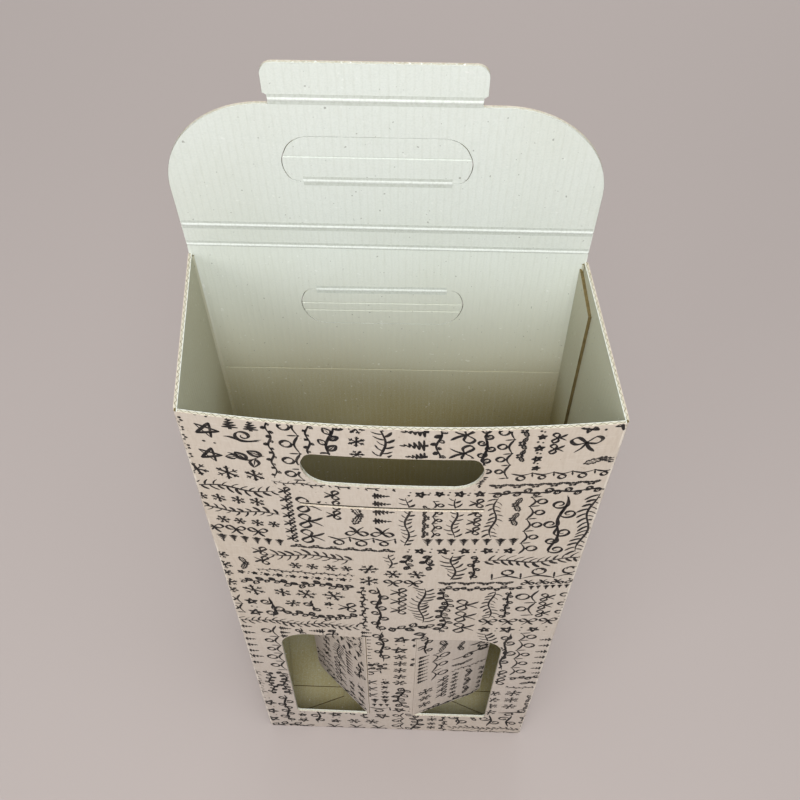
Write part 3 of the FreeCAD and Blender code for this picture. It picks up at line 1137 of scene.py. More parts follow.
@dataclass
class Ornament:
    """Draws one line of ornament in a box of a given length and height."""

    rng: np.random.Generator
    full_height: float = 7.5
    least_weight: float = 0.72
    holly_edge: tuple[Point, ...] = ((0.0, 0.0), (0.14, 0.20), (0.30, 0.10), (0.42, 0.26),
                                     (0.58, 0.11), (0.70, 0.22), (0.84, 0.06), (1.0, 0.0))
    bow_loop: tuple[Point, ...] = ((0, 0), (0.30, 0.32), (0.52, 0.16), (0.34, -0.08), (0, 0))
    bow_tail: tuple[Point, ...] = ((0, 0), (0.12, -0.30), (0.34, -0.56))

    def draw(self, motif: Motif, length: float, tall: float) -> list[Stroke]:
        """The strokes of one line of ornament.

        Args:
            motif: What it shows.
            length: Its length, in millimetres.
            tall: Its height, in millimetres.

        Returns:
            The strokes, within that box.
        """
        makers: dict[Motif, Callable[[float, float], list[Stroke]]] = {
            Motif.FIR: self.fir, Motif.VINE: self.vine, Motif.STARS: self.stars,
            Motif.SNOW: self.snow, Motif.BAUBLES: self.baubles, Motif.CURLS: self.curls,
            Motif.TREES: self.trees, Motif.HOLLY: self.holly, Motif.BOWS: self.bows,
        }
        strokes = makers[motif](length, tall)
        for stroke in strokes:
            stroke.widths *= self.least_weight + (1 - self.least_weight) * tall / self.full_height
        return strokes

    def stem(self, length: float, tall: float, sway: float) -> np.ndarray:
        """A wavy stem.

        Args:
            length: Its length.
            tall: Height of its box.
            sway: Its sway, as a share of that height.

        Returns:
            Its points.
        """
        turns = max(1.0, length / (2.6 * tall))
        x = np.linspace(0, length, int(8 * turns) + 3)
        y = tall * (0.5 + sway * np.sin(2 * math.pi * turns * x / length + self.rng.uniform(0, 6)))
        return np.column_stack([x, y])

    def fir(self, length: float, tall: float) -> list[Stroke]:
        """A fir garland: needles slanting off both sides of a stem.

        Args:
            length: Length of its box.
            tall: Height of its box.

        Returns:
            The strokes.
        """
        line = self.stem(length, tall, 0.12)
        stem = smooth_line(line, 1.0)
        strokes = [pen(line, 0.75, step=1.4)]
        way = directions(stem)
        side = 1
        for i in range(1, len(stem) - 1, 2):
            side = -side
            reach = tall * self.rng.uniform(0.30, 0.46)
            across = np.array([-way[i, 1], way[i, 0]]) * side
            bend = stem[i] + way[i] * reach * 0.25 + across * reach * 0.55
            tip = stem[i] + way[i] * reach * 0.75 + across * reach
            strokes.append(pen([stem[i], bend, tip], self.rng.uniform(0.55, 0.95), step=1.1))
        return strokes

    def leaf(self, root: np.ndarray, way: np.ndarray, size: float, weight: float) -> list[Stroke]:
        """One pointed leaf with its vein.

        Args:
            root: Where it starts.
            way: Its unit direction.
            size: Its length.
            weight: The pen's greatest width.

        Returns:
            The strokes.
        """
        across = np.array([-way[1], way[0]])
        strokes = []
        for side in (-1, 1):
            belly = root + way * size * 0.42 + across * side * size * 0.27
            near = root + way * size * 0.8 + across * side * size * 0.12
            strokes.append(pen([root, belly, near, root + way * size], weight))
        strokes.append(pen([root, root + way * size * 0.75], weight * 0.45, step=1.5))
        return strokes

    def vine(self, length: float, tall: float) -> list[Stroke]:
        """A vine with pointed leaves on both sides.

        Args:
            length: Length of its box.
            tall: Height of its box.

        Returns:
            The strokes.
        """
        line = self.stem(length, tall, 0.16)
        stem = smooth_line(line, 1.0)
        strokes = [pen(line, 0.8, step=1.3)]
        way = directions(stem)
        side = 1
        for i in range(1, len(stem) - 2, max(3, int(tall * 0.36))):
            side = -side
            heading = spin(math.radians(side * self.rng.uniform(38, 62))) @ way[i]
            strokes += self.leaf(stem[i], heading, tall * self.rng.uniform(0.40, 0.56), 0.85)
        return strokes

    def stars(self, length: float, tall: float) -> list[Stroke]:
        """Five-pointed stars of changing size, with dots between them.

        Args:
            length: Length of its box.
            tall: Height of its box.

        Returns:
            The strokes.
        """
        strokes: list[Stroke] = []
        x = tall * 0.45
        while x < length - tall * 0.4:
            size = tall * self.rng.uniform(0.34, 0.48)
            y = tall / 2 + float(self.rng.normal(0, tall * 0.03))
            tilt = self.rng.uniform(0, 360)
            turns = [math.radians(a + tilt) for a in (0, 144, 288, 72, 216, 0)]
            tips = [(x + size * math.cos(a), y + size * math.sin(a)) for a in turns]
            for a, b in zip(tips, tips[1:]):
                middle = ((a[0] + b[0]) / 2, (a[1] + b[1]) / 2)
                strokes.append(pen([a, middle, b], 0.8, step=1.1, taper=0.5))
            x += size + tall * 0.28
            if x < length - tall * 0.3:
                strokes.append(dot(x, tall * self.rng.uniform(0.25, 0.4), 1.0))
                strokes.append(dot(x + 0.6, tall * self.rng.uniform(0.6, 0.8), 1.3))
            x += tall * 0.28 + size
        return strokes

    def snow(self, length: float, tall: float) -> list[Stroke]:
        """Six-armed snow crystals with barbs.

        Args:
            length: Length of its box.
            tall: Height of its box.

        Returns:
            The strokes.
        """
        strokes: list[Stroke] = []
        x = tall * 0.48
        while x < length - tall * 0.4:
            size = tall * self.rng.uniform(0.36, 0.48)
            y = tall / 2
            tilt = self.rng.uniform(0, 60)
            for k in range(6):
                a = math.radians(tilt + 60 * k)
                way = np.array([math.cos(a), math.sin(a)])
                tip = (x + way[0] * size, y + way[1] * size)
                strokes.append(pen([(x, y), tip], 0.7, step=1.1, taper=0.8))
                for barb in (-1, 1):
                    b = a + barb * math.radians(48)
                    root = (x + way[0] * size * 0.55, y + way[1] * size * 0.55)
                    tip = (root[0] + math.cos(b) * size * 0.34, root[1] + math.sin(b) * size * 0.34)
                    strokes.append(pen([root, tip], 0.55, step=1.1, taper=0.6))
            x += 2 * size + tall * 0.22
        return strokes

    def baubles(self, length: float, tall: float) -> list[Stroke]:
        """Baubles hanging from a swag.

        Args:
            length: Length of its box.
            tall: Height of its box.

        Returns:
            The strokes.
        """
        strokes = []
        x = 0.0
        while x < length - tall * 0.7:
            span = min(length - x, tall * self.rng.uniform(1.1, 1.5))
            swag = [(x, tall * 0.95), (x + span / 2, tall * 0.72), (x + span, tall * 0.95)]
            strokes.append(pen(swag, 0.8, step=1.1))
            size = tall * self.rng.uniform(0.20, 0.27)
            cx, cy = x + span / 2, tall * 0.60 - size
            strokes.append(ring(cx, cy, size, size, 0.85))
            strokes.append(ring(cx, cy, size * 0.55, size * 0.98, 0.5, 200, 140))
            strokes.append(pen([(cx, cy + size), (cx, tall * 0.73)], 0.8, taper=0.8))
            strokes.append(dot(x + span, tall * 0.95, 1.2))
            strokes.append(pen([(x + span, tall * 0.9), (x + span + 0.4, tall * 0.45)], 0.6))
            x += span
        return strokes

    def curls(self, length: float, tall: float) -> list[Stroke]:
        """A running line with curls that leave it up and down.

        Args:
            length: Length of its box.
            tall: Height of its box.

        Returns:
            The strokes.
        """
        line = self.stem(length, tall, 0.10)
        strokes = [pen(line, 0.95, step=1.2)]
        full_turn = 1.35 * 2 * math.pi
        x = tall * 0.3
        side = 1
        while x < length - tall * 0.55:
            side = -side
            y = float(np.interp(x, line[:, 0], line[:, 1]))
            size = tall * self.rng.uniform(0.26, 0.36)
            cx, cy = x + size, y + side * size * 0.75
            curl = [(x - size * 0.6, y)]
            for t in np.linspace(0, full_turn, 15):
                r = size * (1 - t / full_turn * 0.78)
                angle = side * (-math.pi / 2 + t)
                curl.append((cx + r * math.cos(angle), cy + r * math.sin(angle)))
            strokes.append(pen(curl, 0.95, step=0.8))
            x += tall * self.rng.uniform(0.62, 0.8)
        return strokes

    def trees(self, length: float, tall: float) -> list[Stroke]:
        """Fir trees drawn with one zigzag each.

        Args:
            length: Length of its box.
            tall: Height of its box.

        Returns:
            The strokes.
        """
        strokes: list[Stroke] = []
        x = tall * 0.32
        while x < length - tall * 0.3:
            high = tall * self.rng.uniform(0.75, 0.98)
            half = high * 0.34
            steps = 5
            points = [(x, high)]
            for k in range(1, steps + 1):
                reach = half * k / steps
                y = high * (1 - 0.86 * k / steps)
                points.append((x - reach, y))
                if k < steps:
                    points.append((x + reach * 1.05, y + high * 0.03))
            for a, b in zip(points, points[1:]):
                middle = ((a[0] + b[0]) / 2, (a[1] + b[1]) / 2 - 0.25)
                strokes.append(pen([a, middle, b], 0.8, step=1.0, taper=0.5))
            strokes.append(pen([(x - half, high * 0.14), (x + half, high * 0.16)], 0.7, taper=0.6))
            strokes.append(pen([(x, high * 0.14), (x, 0.0)], 1.0, taper=0.9))
            x += half * 2 + tall * 0.16
        return strokes

    def holly(self, length: float, tall: float) -> list[Stroke]:
        """Pairs of spiky leaves with three berries.

        Args:
            length: Length of its box.
            tall: Height of its box.

        Returns:
            The strokes.
        """
        strokes: list[Stroke] = []
        x = tall * 0.75
        while x < length - tall * 0.6:
            y = tall * 0.42
            size = tall * 0.66
            for side in (-1, 1):
                root = np.array([x + side * 0.8, y])
                way = np.array([side * math.cos(0.35), math.sin(0.35)])
                across = np.array([-way[1], way[0]])
                for edge in (-1, 1):
                    points = [root + way * size * far + across * edge * size * wide
                              for far, wide in self.holly_edge]
                    for a, b in zip(points, points[1:]):
                        strokes.append(pen([a, b], 0.65, step=1.0, taper=0.8))
                strokes.append(pen([root, root + way * size * 0.8], 0.4))
            for bx, by in ((-0.8, -1.2), (0.9, -1.1), (0.0, 0.5)):
                strokes.append(dot(x + bx, y + by, 1.7))
            x += tall * 1.55
        return strokes

    def bows(self, length: float, tall: float) -> list[Stroke]:
        """Tied bows with two loops and two tails.

        Args:
            length: Length of its box.
            tall: Height of its box.

        Returns:
            The strokes.
        """
        strokes: list[Stroke] = []
        x = tall * 0.6
        while x < length - tall * 0.5:
            y = tall * 0.6
            for side in (-1, 1):
                loop, tail = ([(x + side * tall * a, y + tall * b) for a, b in shape]
                              for shape in (self.bow_loop, self.bow_tail))
                strokes.append(pen(loop, 0.9, taper=0.6))
                strokes.append(pen(tail, 0.85, step=1.0))
            strokes.append(dot(x, y, 1.9))
            x += tall * 1.2
        return strokes


@dataclass(frozen=True)
class PrintField:
    """A face that carries the print: its frame, its extent and the nodes it lies on."""

    name: str
    frame: Frame
    low: Point
    high: Point
    nodes: tuple[str, ...]
    reach: float = 2.0
    slack: float = 1.0


@dataclass
class Printer:
    """Fills faces with lines of ornament and lays their ink on the board.

    It takes the CAD nodes' faces, the body that each node rides on and the ink's material.
    """

    surfaces: Surfaces
    bodies: dict[str, str]
    ink: Material
    ink_gap: float = 0.05
    margin: float = 0.9
    thinnest: float = 5.6
    thickest: float = 14.5
    longest: float = 72.0
    patch: float = 92.0
    upright_share: float = 0.6
    scrap_share: float = 0.7
    split_shares: Point = (0.36, 0.64)

    def tiles(self, x: float, y: float, wide: float, tall: float,
              rng: np.random.Generator) -> list[tuple[float, ...]]:
        """Cuts a rectangle into strips, most of them upright, one for each line of ornament.

        Args:
            x: Its left edge.
            y: Its lower edge.
            wide: Its width.
            tall: Its height.
            rng: The seeded generator.

        Returns:
            X, y, width and height of each strip.
        """
        small, large = min(wide, tall), max(wide, tall)
        if small < self.thinnest * self.scrap_share or large < self.thinnest:
            return []
        if small <= self.thickest and large <= self.longest:
            return [(x, y, wide, tall)]
        if large > self.patch or small <= self.thickest:
            along_x = wide > tall
            first = float(rng.uniform(*self.split_shares)) * (wide if along_x else tall)
        else:
            along_x = rng.random() < self.upright_share
            span = wide if along_x else tall
            first = float(rng.uniform(self.thinnest, self.thickest))
            if span - first < self.thinnest:
                first = span / 2
        if along_x:
            return (self.tiles(x, y, first, tall, rng)
                    + self.tiles(x + first, y, wide - first, tall, rng))
        return (self.tiles(x, y, wide, first, rng)
                + self.tiles(x, y + first, wide, tall - first, rng))

    def layout(self, area: PrintField, rng: np.random.Generator) -> list[Stroke]:
        """Fills a face with lines of ornament.

        Args:
            area: The face.
            rng: The seeded generator.

        Returns:
            All strokes, in the face's own frame.
        """
        ornament = Ornament(rng)
        motifs = list(Motif)
        strokes: list[Stroke] = []
        (left, low), (right, high) = area.low, area.high
        for x, y, wide, tall in self.tiles(left, low, right - left, high - low, rng):
            upright = tall > wide
            run, rise = (max(wide, tall) - self.margin, min(wide, tall) - self.margin)
            flip = rng.random() < 0.5
            drawn = ornament.draw(motifs[int(rng.integers(len(motifs)))], run, rise)
            for stroke in drawn or ornament.draw(Motif.SNOW, run, rise):
                p = stroke.points.copy()
                if flip:
                    p = np.array([run, rise]) - p
                if upright:
                    p = np.column_stack([rise - p[:, 1], p[:, 0]])
                strokes.append(Stroke(p + np.array([x, y]) + self.margin / 2, stroke.widths))
        return strokes

    def lay(self, area: PrintField, seed: int) -> None:
        """Prints one face and makes one piece of ink for each node under it.

        Args:
            area: The face.
            seed: Seed of its layout.
        """
        makers = {name: MeshMaker() for name in area.nodes}
        frame = area.frame
        reach, way_in = area.reach + area.slack, -frame.out
        for stroke in self.layout(area, np.random.default_rng(seed)):
            way = directions(stroke.points)
            across = np.column_stack([-way[:, 1], way[:, 0]]) * stroke.widths[:, None] / 2
            rows = []
            for pair in zip(stroke.points - across, stroke.points + across):
                starts = [frame.at(p[0], p[1], area.reach) for p in pair]
                hits = [self.surfaces.drop(area.nodes, p, way_in, reach) for p in starts]
                if None in hits or hits[0][0] != hits[1][0]:
                    rows.append(None)
                else:
                    rows.append((hits[0][0], [h[1] + frame.out * self.ink_gap for h in hits]))
            run: list[list[Vector]] = []
            under = ""
            for row in rows + [None]:
                if row is not None and (not run or row[0] == under):
                    under = row[0]
                    run.append(row[1])
                    continue
                if len(run) > 1:
                    makers[under].add(run)
                run = [row[1]] if row is not None else []
                under = row[0] if row is not None else ""
        for name, maker in makers.items():
            if maker.faces:
                title = f"print_{area.name}_{name}" if len(makers) > 1 else f"print_{area.name}"
                piece = maker.build(title, [self.ink])
                set_on(piece, self.bodies[name])


def print_fields() -> list[PrintField]:
    """Every printed face of the box.

    Returns:
        The faces, in the order in which they are printed.
    """
    s = SIZES
    x_axis, y_axis, z_axis = Vector((1, 0, 0)), Vector((0, 1, 0)), Vector((0, 0, 1))
    rack = Vector((s.mouth_rack / 2 / s.height, 0, 0))
    front = Frame(y_axis * -s.depth / 2, x_axis, z_axis + rack, -y_axis)
    back = Frame(y_axis * s.depth / 2, x_axis, z_axis - rack, y_axis)
    left = Frame(x_axis * -s.width / 2, y_axis, z_axis, -x_axis)
    right = Frame(x_axis * s.width / 2, y_axis, z_axis, x_axis)
    lid = lid_frame().moved(0, 0, s.half_board)
    lid_top = s.tab_crease + s.tab_length + 3
    # The extents reach past the panels; ink that would miss the board is left out.
    body = ("box_body",)
    fields = [
        PrintField("front", front, (-93, -4), (93, 389), body, reach=10),
        PrintField("back", back, (-92, -3), (94, 391), body + ("back_handle_flap",)),
        PrintField("left", left, (-48, -5), (47, 388), body, reach=7, slack=6),
        PrintField("right", right, (-46, -2), (49, 390), body, reach=7, slack=6),
        PrintField("lid", lid, (-s.lid_half - 3, 0.4), (s.lid_half + 2, lid_top),
                   ("lid_ridge", "lid_panel", "lid_handle_flap", "tuck_tab")),
    ]
    high = (s.window_width + 4, s.window_height + 4)
    for side, name in ((-1, "left"), (1, "right")):
        flap = divider_frame(side).moved(0, s.window_bottom, s.half_board)
        fields.append(PrintField(f"divider_{name}", flap, (0.5, -3), high,
                                 (f"divider_flap_{name}",)))
    flap = front_flap_frame().moved(0, -s.handle_height, s.board)
    half = s.handle_width / 2 + 4
    fields.append(PrintField("front_flap", flap, (-half, -3), (half, s.handle_height - 1),
                             ("front_handle_flap",)))
    return fields


# ---------------------------------------------------------------------------
# Cut edges, creases and nicks
# ---------------------------------------------------------------------------


@dataclass
class CutEdges:
    """The open corrugation in the board's cut edges: two liners and the wave between them."""

    palette: Palette
    liner: float = 0.24
    wave_width: float = 0.22
    pitch: float = 3.2
    gap: float = 0.03
    step: float = 0.4
    backing_inset: float = 0.06
    slit_liner: float = 0.36
    crushed: tuple[str, ...] = ("edge_lid", "edge_tab", "edge_lid_hole", "edge_front_holes")
    corner_gap: float = 0.9
    fold_zone: float = 0.9
    hinge_zone: float = 0.4
    look_from: float = 12.0
    look_reach: float = 18.0
    nudges: tuple[Point, ...] = ((0, 0.5), (0, -0.5), (0.5, 0), (-0.5, 0),
                                 (1, 1), (-1, 1), (1, -1), (-1, -1))

    def strip(self, maker: MeshMaker, middle: list[Vector], thick: list[Vector],
              face: list[Vector], flute: list[float], closed: bool) -> None:
        """Adds one cut edge.

        Args:
            maker: The mesh that takes it.
            middle: Points along the middle of the cut.
            thick: At each, the unit direction across the board.
            face: At each, the unit direction out of the cut.
            flute: At each, the place across the flutes, in millimetres.
            closed: Whether the edge closes on itself.
        """
        half = SIZES.half_board

        def ribbon(centre: Sequence[float], wide: float, lift: float, slot: int) -> None:
            """Adds one ribbon along the cut.

            Args:
                centre: At each point, its place across the board's thickness.
                wide: Its width.
                lift: How far it stands out of the cut.
                slot: Its material slot.
            """
            rows = [[m + t * (c - wide / 2) + f * lift, m + t * (c + wide / 2) + f * lift]
                    for m, t, f, c in zip(middle, thick, face, centre)]
            maker.add(rows, slot, closed)

        count = len(middle)
        ribbon([0.0] * count, 2 * half - self.backing_inset, self.gap, 0)
        reach = half - self.liner - self.wave_width * 0.35
        wave = [reach * math.sin(2 * math.pi * f / self.pitch) for f in flute]
        ribbon(wave, self.wave_width, 2 * self.gap, 1)
        ribbon([half - self.liner / 2] * count, self.liner, 3 * self.gap, 2)
        ribbon([-half + self.liner / 2] * count, self.liner, 3 * self.gap, 3)

    def materials(self, name: str) -> list[Material]:
        """The materials of an edge piece; the edges of the lid and the front are crushed pale.

        Args:
            name: The piece's name.

        Returns:
            Fluting's gaps, fluting, outer liner and inner liner.
        """
        p = self.palette
        if name in self.crushed:
            return [p.crushed, p.pressed_paper_and_shade, p.kraft_paper, p.pale_paper]
        if name == "edge_mouth":
            return [p.crushed, p.tick, p.kraft_paper, p.pale_paper]
        if name == "edge_slit":
            return [p.shadow, p.shadow, p.kraft_paper, p.shadow]
        return [p.gap, p.medium, p.kraft_paper, p.pale_paper]

    def outline(self, maker: MeshMaker, frame: Frame, corners: Sequence[Corner], inside: bool,
                depth_at: Optional[Callable[[float, float], float]] = None,
                crease: Optional[Callable[[float, float], bool]] = None) -> None:
        """Adds the cut edge round a whole outline.

        Args:
            maker: The mesh that takes it.
            frame: Frame of the board's middle plane.
            corners: The outline's corners.
            inside: Whether the outline is a hole, seen from inside it.
            depth_at: Extra place of the middle plane along out, for a bowed panel.
            crease: Whether a point of the outline is on a crease, which isn't cut.
        """
        points = rounded_outline(corners, self.step)
        count = len(points)
        after = points[1:] + points[:1]
        before = points[-1:] + points[:-1]
        area = sum(a[0] * b[1] - b[0] * a[1] for a, b in zip(points, after))
        sign = 1.0 if (area > 0) != inside else -1.0
        middle, face = [], []
        for (x, y), last, following in zip(points, before, after):
            dx, dy = following[0] - last[0], following[1] - last[1]
            size = math.hypot(dx, dy) or 1.0
            middle.append(frame.at(x, y, depth_at(x, y) if depth_at else 0.0))
            face.append(frame.across * (dy / size * sign) + frame.up * (-dx / size * sign))
        parts = (middle, [frame.out] * count, face, [x for x, _ in points])
        if crease is None:
            self.strip(maker, *parts, True)
            return
        folded = [crease(x, y) for x, y in points]
        first = folded.index(True)
        run: list[int] = []
        for i in [*range(first, count), *range(first), first]:
            if not folded[i]:
                run.append(i)
                continue
            if len(run) > 1:
                self.strip(maker, *([part[j] for j in run] for part in parts), False)
            run = []

    def mouth(self) -> None:
        """The cut tops of the front and side panels."""
        s = SIZES
        maker = MeshMaker()
        up, out = Vector((0, 0, 1)), Vector((0, -1, 0))
        half, back = s.width / 2 - s.half_board, s.depth / 2 - s.half_board
        slant = s.mouth_rack / s.depth
        end = half - self.corner_gap
        count = int(2 * end / self.step)
        xs = [-end + 2 * end * i / count for i in range(count + 1)]
        bow = [s.front_bow * (1 - (x / half) ** 2) for x in xs]
        middle = [Vector((x + slant * back, -back - b, s.height)) for x, b in zip(xs, bow)]
        self.strip(maker, middle, [out] * len(xs), [up] * len(xs), xs, False)
        end = back - self.corner_gap
        ys = [-end + 2 * end * i / 200 for i in range(201)]
        for side in (-1, 1):
            middle = [Vector((side * half - slant * y, y, s.height)) for y in ys]
            self.strip(maker, middle, [Vector((side, 0, 0))] * len(ys), [up] * len(ys), ys, False)
        self.place(maker, "edge_mouth", "box")

    def place(self, maker: MeshMaker, name: str, body: str) -> None:
        """Builds an edge piece and sets it on its body."""
        set_on(maker.build(name, self.materials(name), smooth=False), body)

    def holes(self, surfaces: Surfaces) -> None:
        """The cut edges of the openings in the front, the back and the lid.

        Args:
            surfaces: The CAD nodes' faces.
        """
        s = SIZES
        front, back, lid = front_frame(), back_frame(), lid_frame()

        def bowed(frame: Frame) -> Callable[[float, float], float]:
            """How far the bowed front's middle plane stands out of a frame's plane.

            Args:
                frame: The frame.

            Returns:
                The measure, as a function of the place in the frame.
            """

            def depth(x: float, y: float) -> float:
                """The bow at one place, from the nearest board beside the cut.

                Args:
                    x: The place across.
                    y: The place up.

                Returns:
                    The bow, in millimetres.
                """
                for nudge_x, nudge_y in self.nudges:
                    start = frame.at(x + nudge_x, y + nudge_y, self.look_from)
                    hit = surfaces.drop(("box_body",), start, -frame.out, self.look_reach)
                    if hit is not None:
                        return self.look_from - (hit[1] - start).length - s.half_board
                return 0.0

            return depth

        maker = MeshMaker()
        hand = hand_outline(0, s.crease_gap)
        hole = front.moved(s.cut_shift, s.handle_level)
        self.outline(maker, hole, hand, True, bowed(hole))
        for side in (-1, 1):
            window = front.moved(s.cut_shift + side * s.pillar_width / 2, 0)
            self.outline(maker, window, window_outline(side, 0, 3.0, 18.0), True, bowed(window),
                         lambda x, y: abs(x) < self.fold_zone)
        self.place(maker, "edge_front_holes", "box")
        maker = MeshMaker()
        slit = front.moved(s.cut_shift, s.slit_level)
        wide, high = s.slit_width / 2, s.slit_height / 2
        corners = [(-wide, -high, 0), (wide, -high, 0), (wide, high, 0), (-wide, high, 0)]
        lips = CutEdges(self.palette, liner=self.slit_liner)
        lips.outline(maker, slit, corners, True, bowed(slit))
        self.place(maker, "edge_slit", "box")
        maker = MeshMaker()
        self.outline(maker, back.moved(s.cut_shift, s.handle_level), hand, True,
                     crease=lambda x, y: y > -self.hinge_zone)
        self.place(maker, "edge_back_hole", "box")
        maker = MeshMaker()
        hole = lid.moved(s.cut_shift, s.ridge_width + s.handle_drop)
        self.outline(maker, hole, [(x, -y, r) for x, y, r in hand], True,
                     crease=lambda x, y: y < self.hinge_zone)
        self.place(maker, "edge_lid_hole", "lid")

    def flaps(self) -> None:
        """The cut edges of the lid, the tab and the flaps."""
        s = SIZES
        lid = lid_frame()
        neck = s.slit_width / 2 - s.tab_neck_relief
        left, right = s.cut_shift - neck, s.cut_shift + neck
        end, crease_start = s.lid_end, s.tab_crease - s.half_board - s.crease_gap
        maker = MeshMaker()
        corners = [(-s.lid_half, s.ridge_width, 0), (s.lid_half, s.ridge_width, 0),
                   (s.lid_half, end, s.lid_corner_radius), (right, end, 0),
                   (right, crease_start, 0), (left, crease_start, 0), (left, end, 0),
                   (-s.lid_half, end, s.lid_corner_radius)]

        def at_neck(x: float, y: float) -> bool:
            """Whether a point of the lid's outline is on one of its creases."""
            return y < s.ridge_width + 1 or (abs(x - s.cut_shift) < neck - 0.3 and y > end + 0.5)

        self.outline(maker, lid, corners, False, crease=at_neck)
        self.place(maker, "edge_lid", "lid")
        maker = MeshMaker()
        wide, high, radius = s.slit_width / 2 + s.tab_wing, s.tab_length, s.tab_corner_radius
        corners = [(-neck, 0, 0), (neck, 0, 0), (neck, 2, 0), (wide, 3, 0), (wide, high, radius),
                   (-wide, high, radius), (-wide, 3, 0), (-neck, 2, 0)]
        self.outline(maker, lid.moved(s.cut_shift, s.tab_crease), corners, False,
                     crease=lambda x, y: y < self.fold_zone)
        self.place(maker, "edge_tab", "tab")
        for side, name in ((-1, "left"), (1, "right")):
            maker = MeshMaker()
            self.outline(maker, divider_frame(side), window_outline(1, s.kerf, 10.0, 17.7), False,
                         crease=lambda x, y: x < self.fold_zone)
            self.place(maker, f"edge_divider_{name}", f"divider_{name}")
        maker = MeshMaker()
        self.outline(maker, front_flap_frame().moved(0, 0, s.half_board), hand_outline(s.kerf, 0),
                     False, crease=lambda x, y: y > -self.fold_zone)
        self.place(maker, "edge_front_flap", "front_flap")


@dataclass
class Creases:
    """Paper that runs on over the creases, with the pressed bead that each leaves and painted shade
    on the inner beads' flanks.
    """

    palette: Palette
    reach: float = 2.4
    sink: float = 0.10
    bead_half: float = 0.62
    lift: float = 0.04
    lid_rise: float = 0.30
    flap_rise: float = 0.22
    bend_half: float = 1.1
    lid_gap: float = 0.3
    tab_gap: float = 0.7
    hinge_inset: float = 8.0
    corner_foot: float = 9.0
    corner_steps: int = 60

    def bead(self, name: str, frame: Frame, half: float, inner: bool, rise: float,
             shift: float) -> None:
        """One strip of liner across a crease, built where the crease lies; it rides on no body.

        Args:
            name: The piece's name.
            frame: Frame of the crease; its origin is on the crease, in the board's middle plane.
            half: Half the strip's length.
            inner: Whether it is on the inner face.
            rise: How far the bead stands up.
            shift: The crease's middle, across.
        """
        maker = MeshMaker()
        side = -1.0 if inner else 1.0
        skin = SIZES.half_board
        profile = [(float(v), skin + self.lift + rise * math.exp(-(v / self.bead_half) ** 2))
                   for v in np.linspace(-self.reach, self.reach, 17)]
        under = [(v, skin - self.sink) for v in (self.reach, -self.reach)]
        count = int(2 * half / 2.0)
        rows = []
        for i in range(count + 1):
            x = shift - half + 2 * half * i / count
            rows.append([frame.at(x, v, side * w) for v, w in profile + under + profile[:1]])
        columns = len(profile)
        # Two flanks in painted shade, where a groove would shade them, with the crest between them,
        # then the sunk underside.
        for first, last, slot in ((0, 5, 1), (5, 11, 0), (11, columns - 1, 1),
                                  (columns - 1, columns + 2, 1)):
            maker.add([row[first:last + 1] for row in rows], slot)
        maker.cap([frame.at(shift - half, v, side * w) for v, w in profile + under])
        maker.cap([frame.at(shift + half, v, side * w) for v, w in reversed(profile + under)])
        kraft, p = self.palette.kraft_paper, self.palette
        piece = maker.build(name, [p.pale_paper, p.pressed_paper_and_shade] if inner else [kraft, kraft])
        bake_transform(piece)

    def lid(self) -> None:
        """The strips over the lid's three creases."""
        s = SIZES
        lid = lid_frame()
        wide, narrow = s.lid_half - self.lid_gap, s.slit_width / 2 - self.tab_gap
        spots = (("first", 0.0, wide, 0.0, ("box", "ridge")),
                 ("second", s.ridge_width, wide, 0.0, ("ridge", "lid")),
                 ("tab", s.tab_crease, narrow, s.cut_shift, ("lid", "tab")))
        for name, up, half, shift, bodies in spots:
            frame = lid.moved(0, up)
            self.bead(f"crease_{name}_inner", frame, half, True, self.lid_rise, shift)
            self.bead(f"crease_{name}_outer", frame, half, False, 0.0, shift)

    def hand_flaps(self) -> None:
        """The strips over the hinges of the shut hand flaps."""
        s = SIZES
        half = s.handle_width / 2 - self.hinge_inset
        spots = (("lid", lid_frame().moved(0, s.ridge_width + s.handle_drop), ("lid", "lid_flap")),
                 ("back", back_frame().moved(0, s.handle_level), ("back_flap", "box")))
        for name, frame, bodies in spots:
            self.bead(f"crease_{name}_flap_inner", frame, half, True, self.flap_rise,
                      s.cut_shift)

    def corners(self) -> None:
        """The soft folded paper down the two inner back corners."""
        s = SIZES
        inner_x, inner_y = s.width / 2 - s.board, s.depth / 2 - s.board
        arc = [(1.9, -0.03), (1.2, 0.16), (0.8, 0.42), (0.42, 0.8), (0.16, 1.2), (-0.03, 1.9),
               (-0.12, -0.12)]
        for side, name in ((-1, "left"), (1, "right")):
            maker = MeshMaker()
            rows = []
            for i in range(self.corner_steps + 1):
                z = self.corner_foot + (s.height - 10) * i / self.corner_steps
                x = side * inner_x - s.mouth_rack / s.depth * inner_y * z / s.height
                rows.append([Vector((x - side * a, inner_y - b, z)) for a, b in arc + arc[:1]])
            maker.add(rows)
            maker.cap(rows[0][:-1])
            maker.cap(rows[-1][-2::-1])
            board = self.palette.board.make(f"board_corner_{name}", Wall.TUBE)
            piece = maker.build(f"corner_fold_{name}", [board])
            set_on(piece, "box")


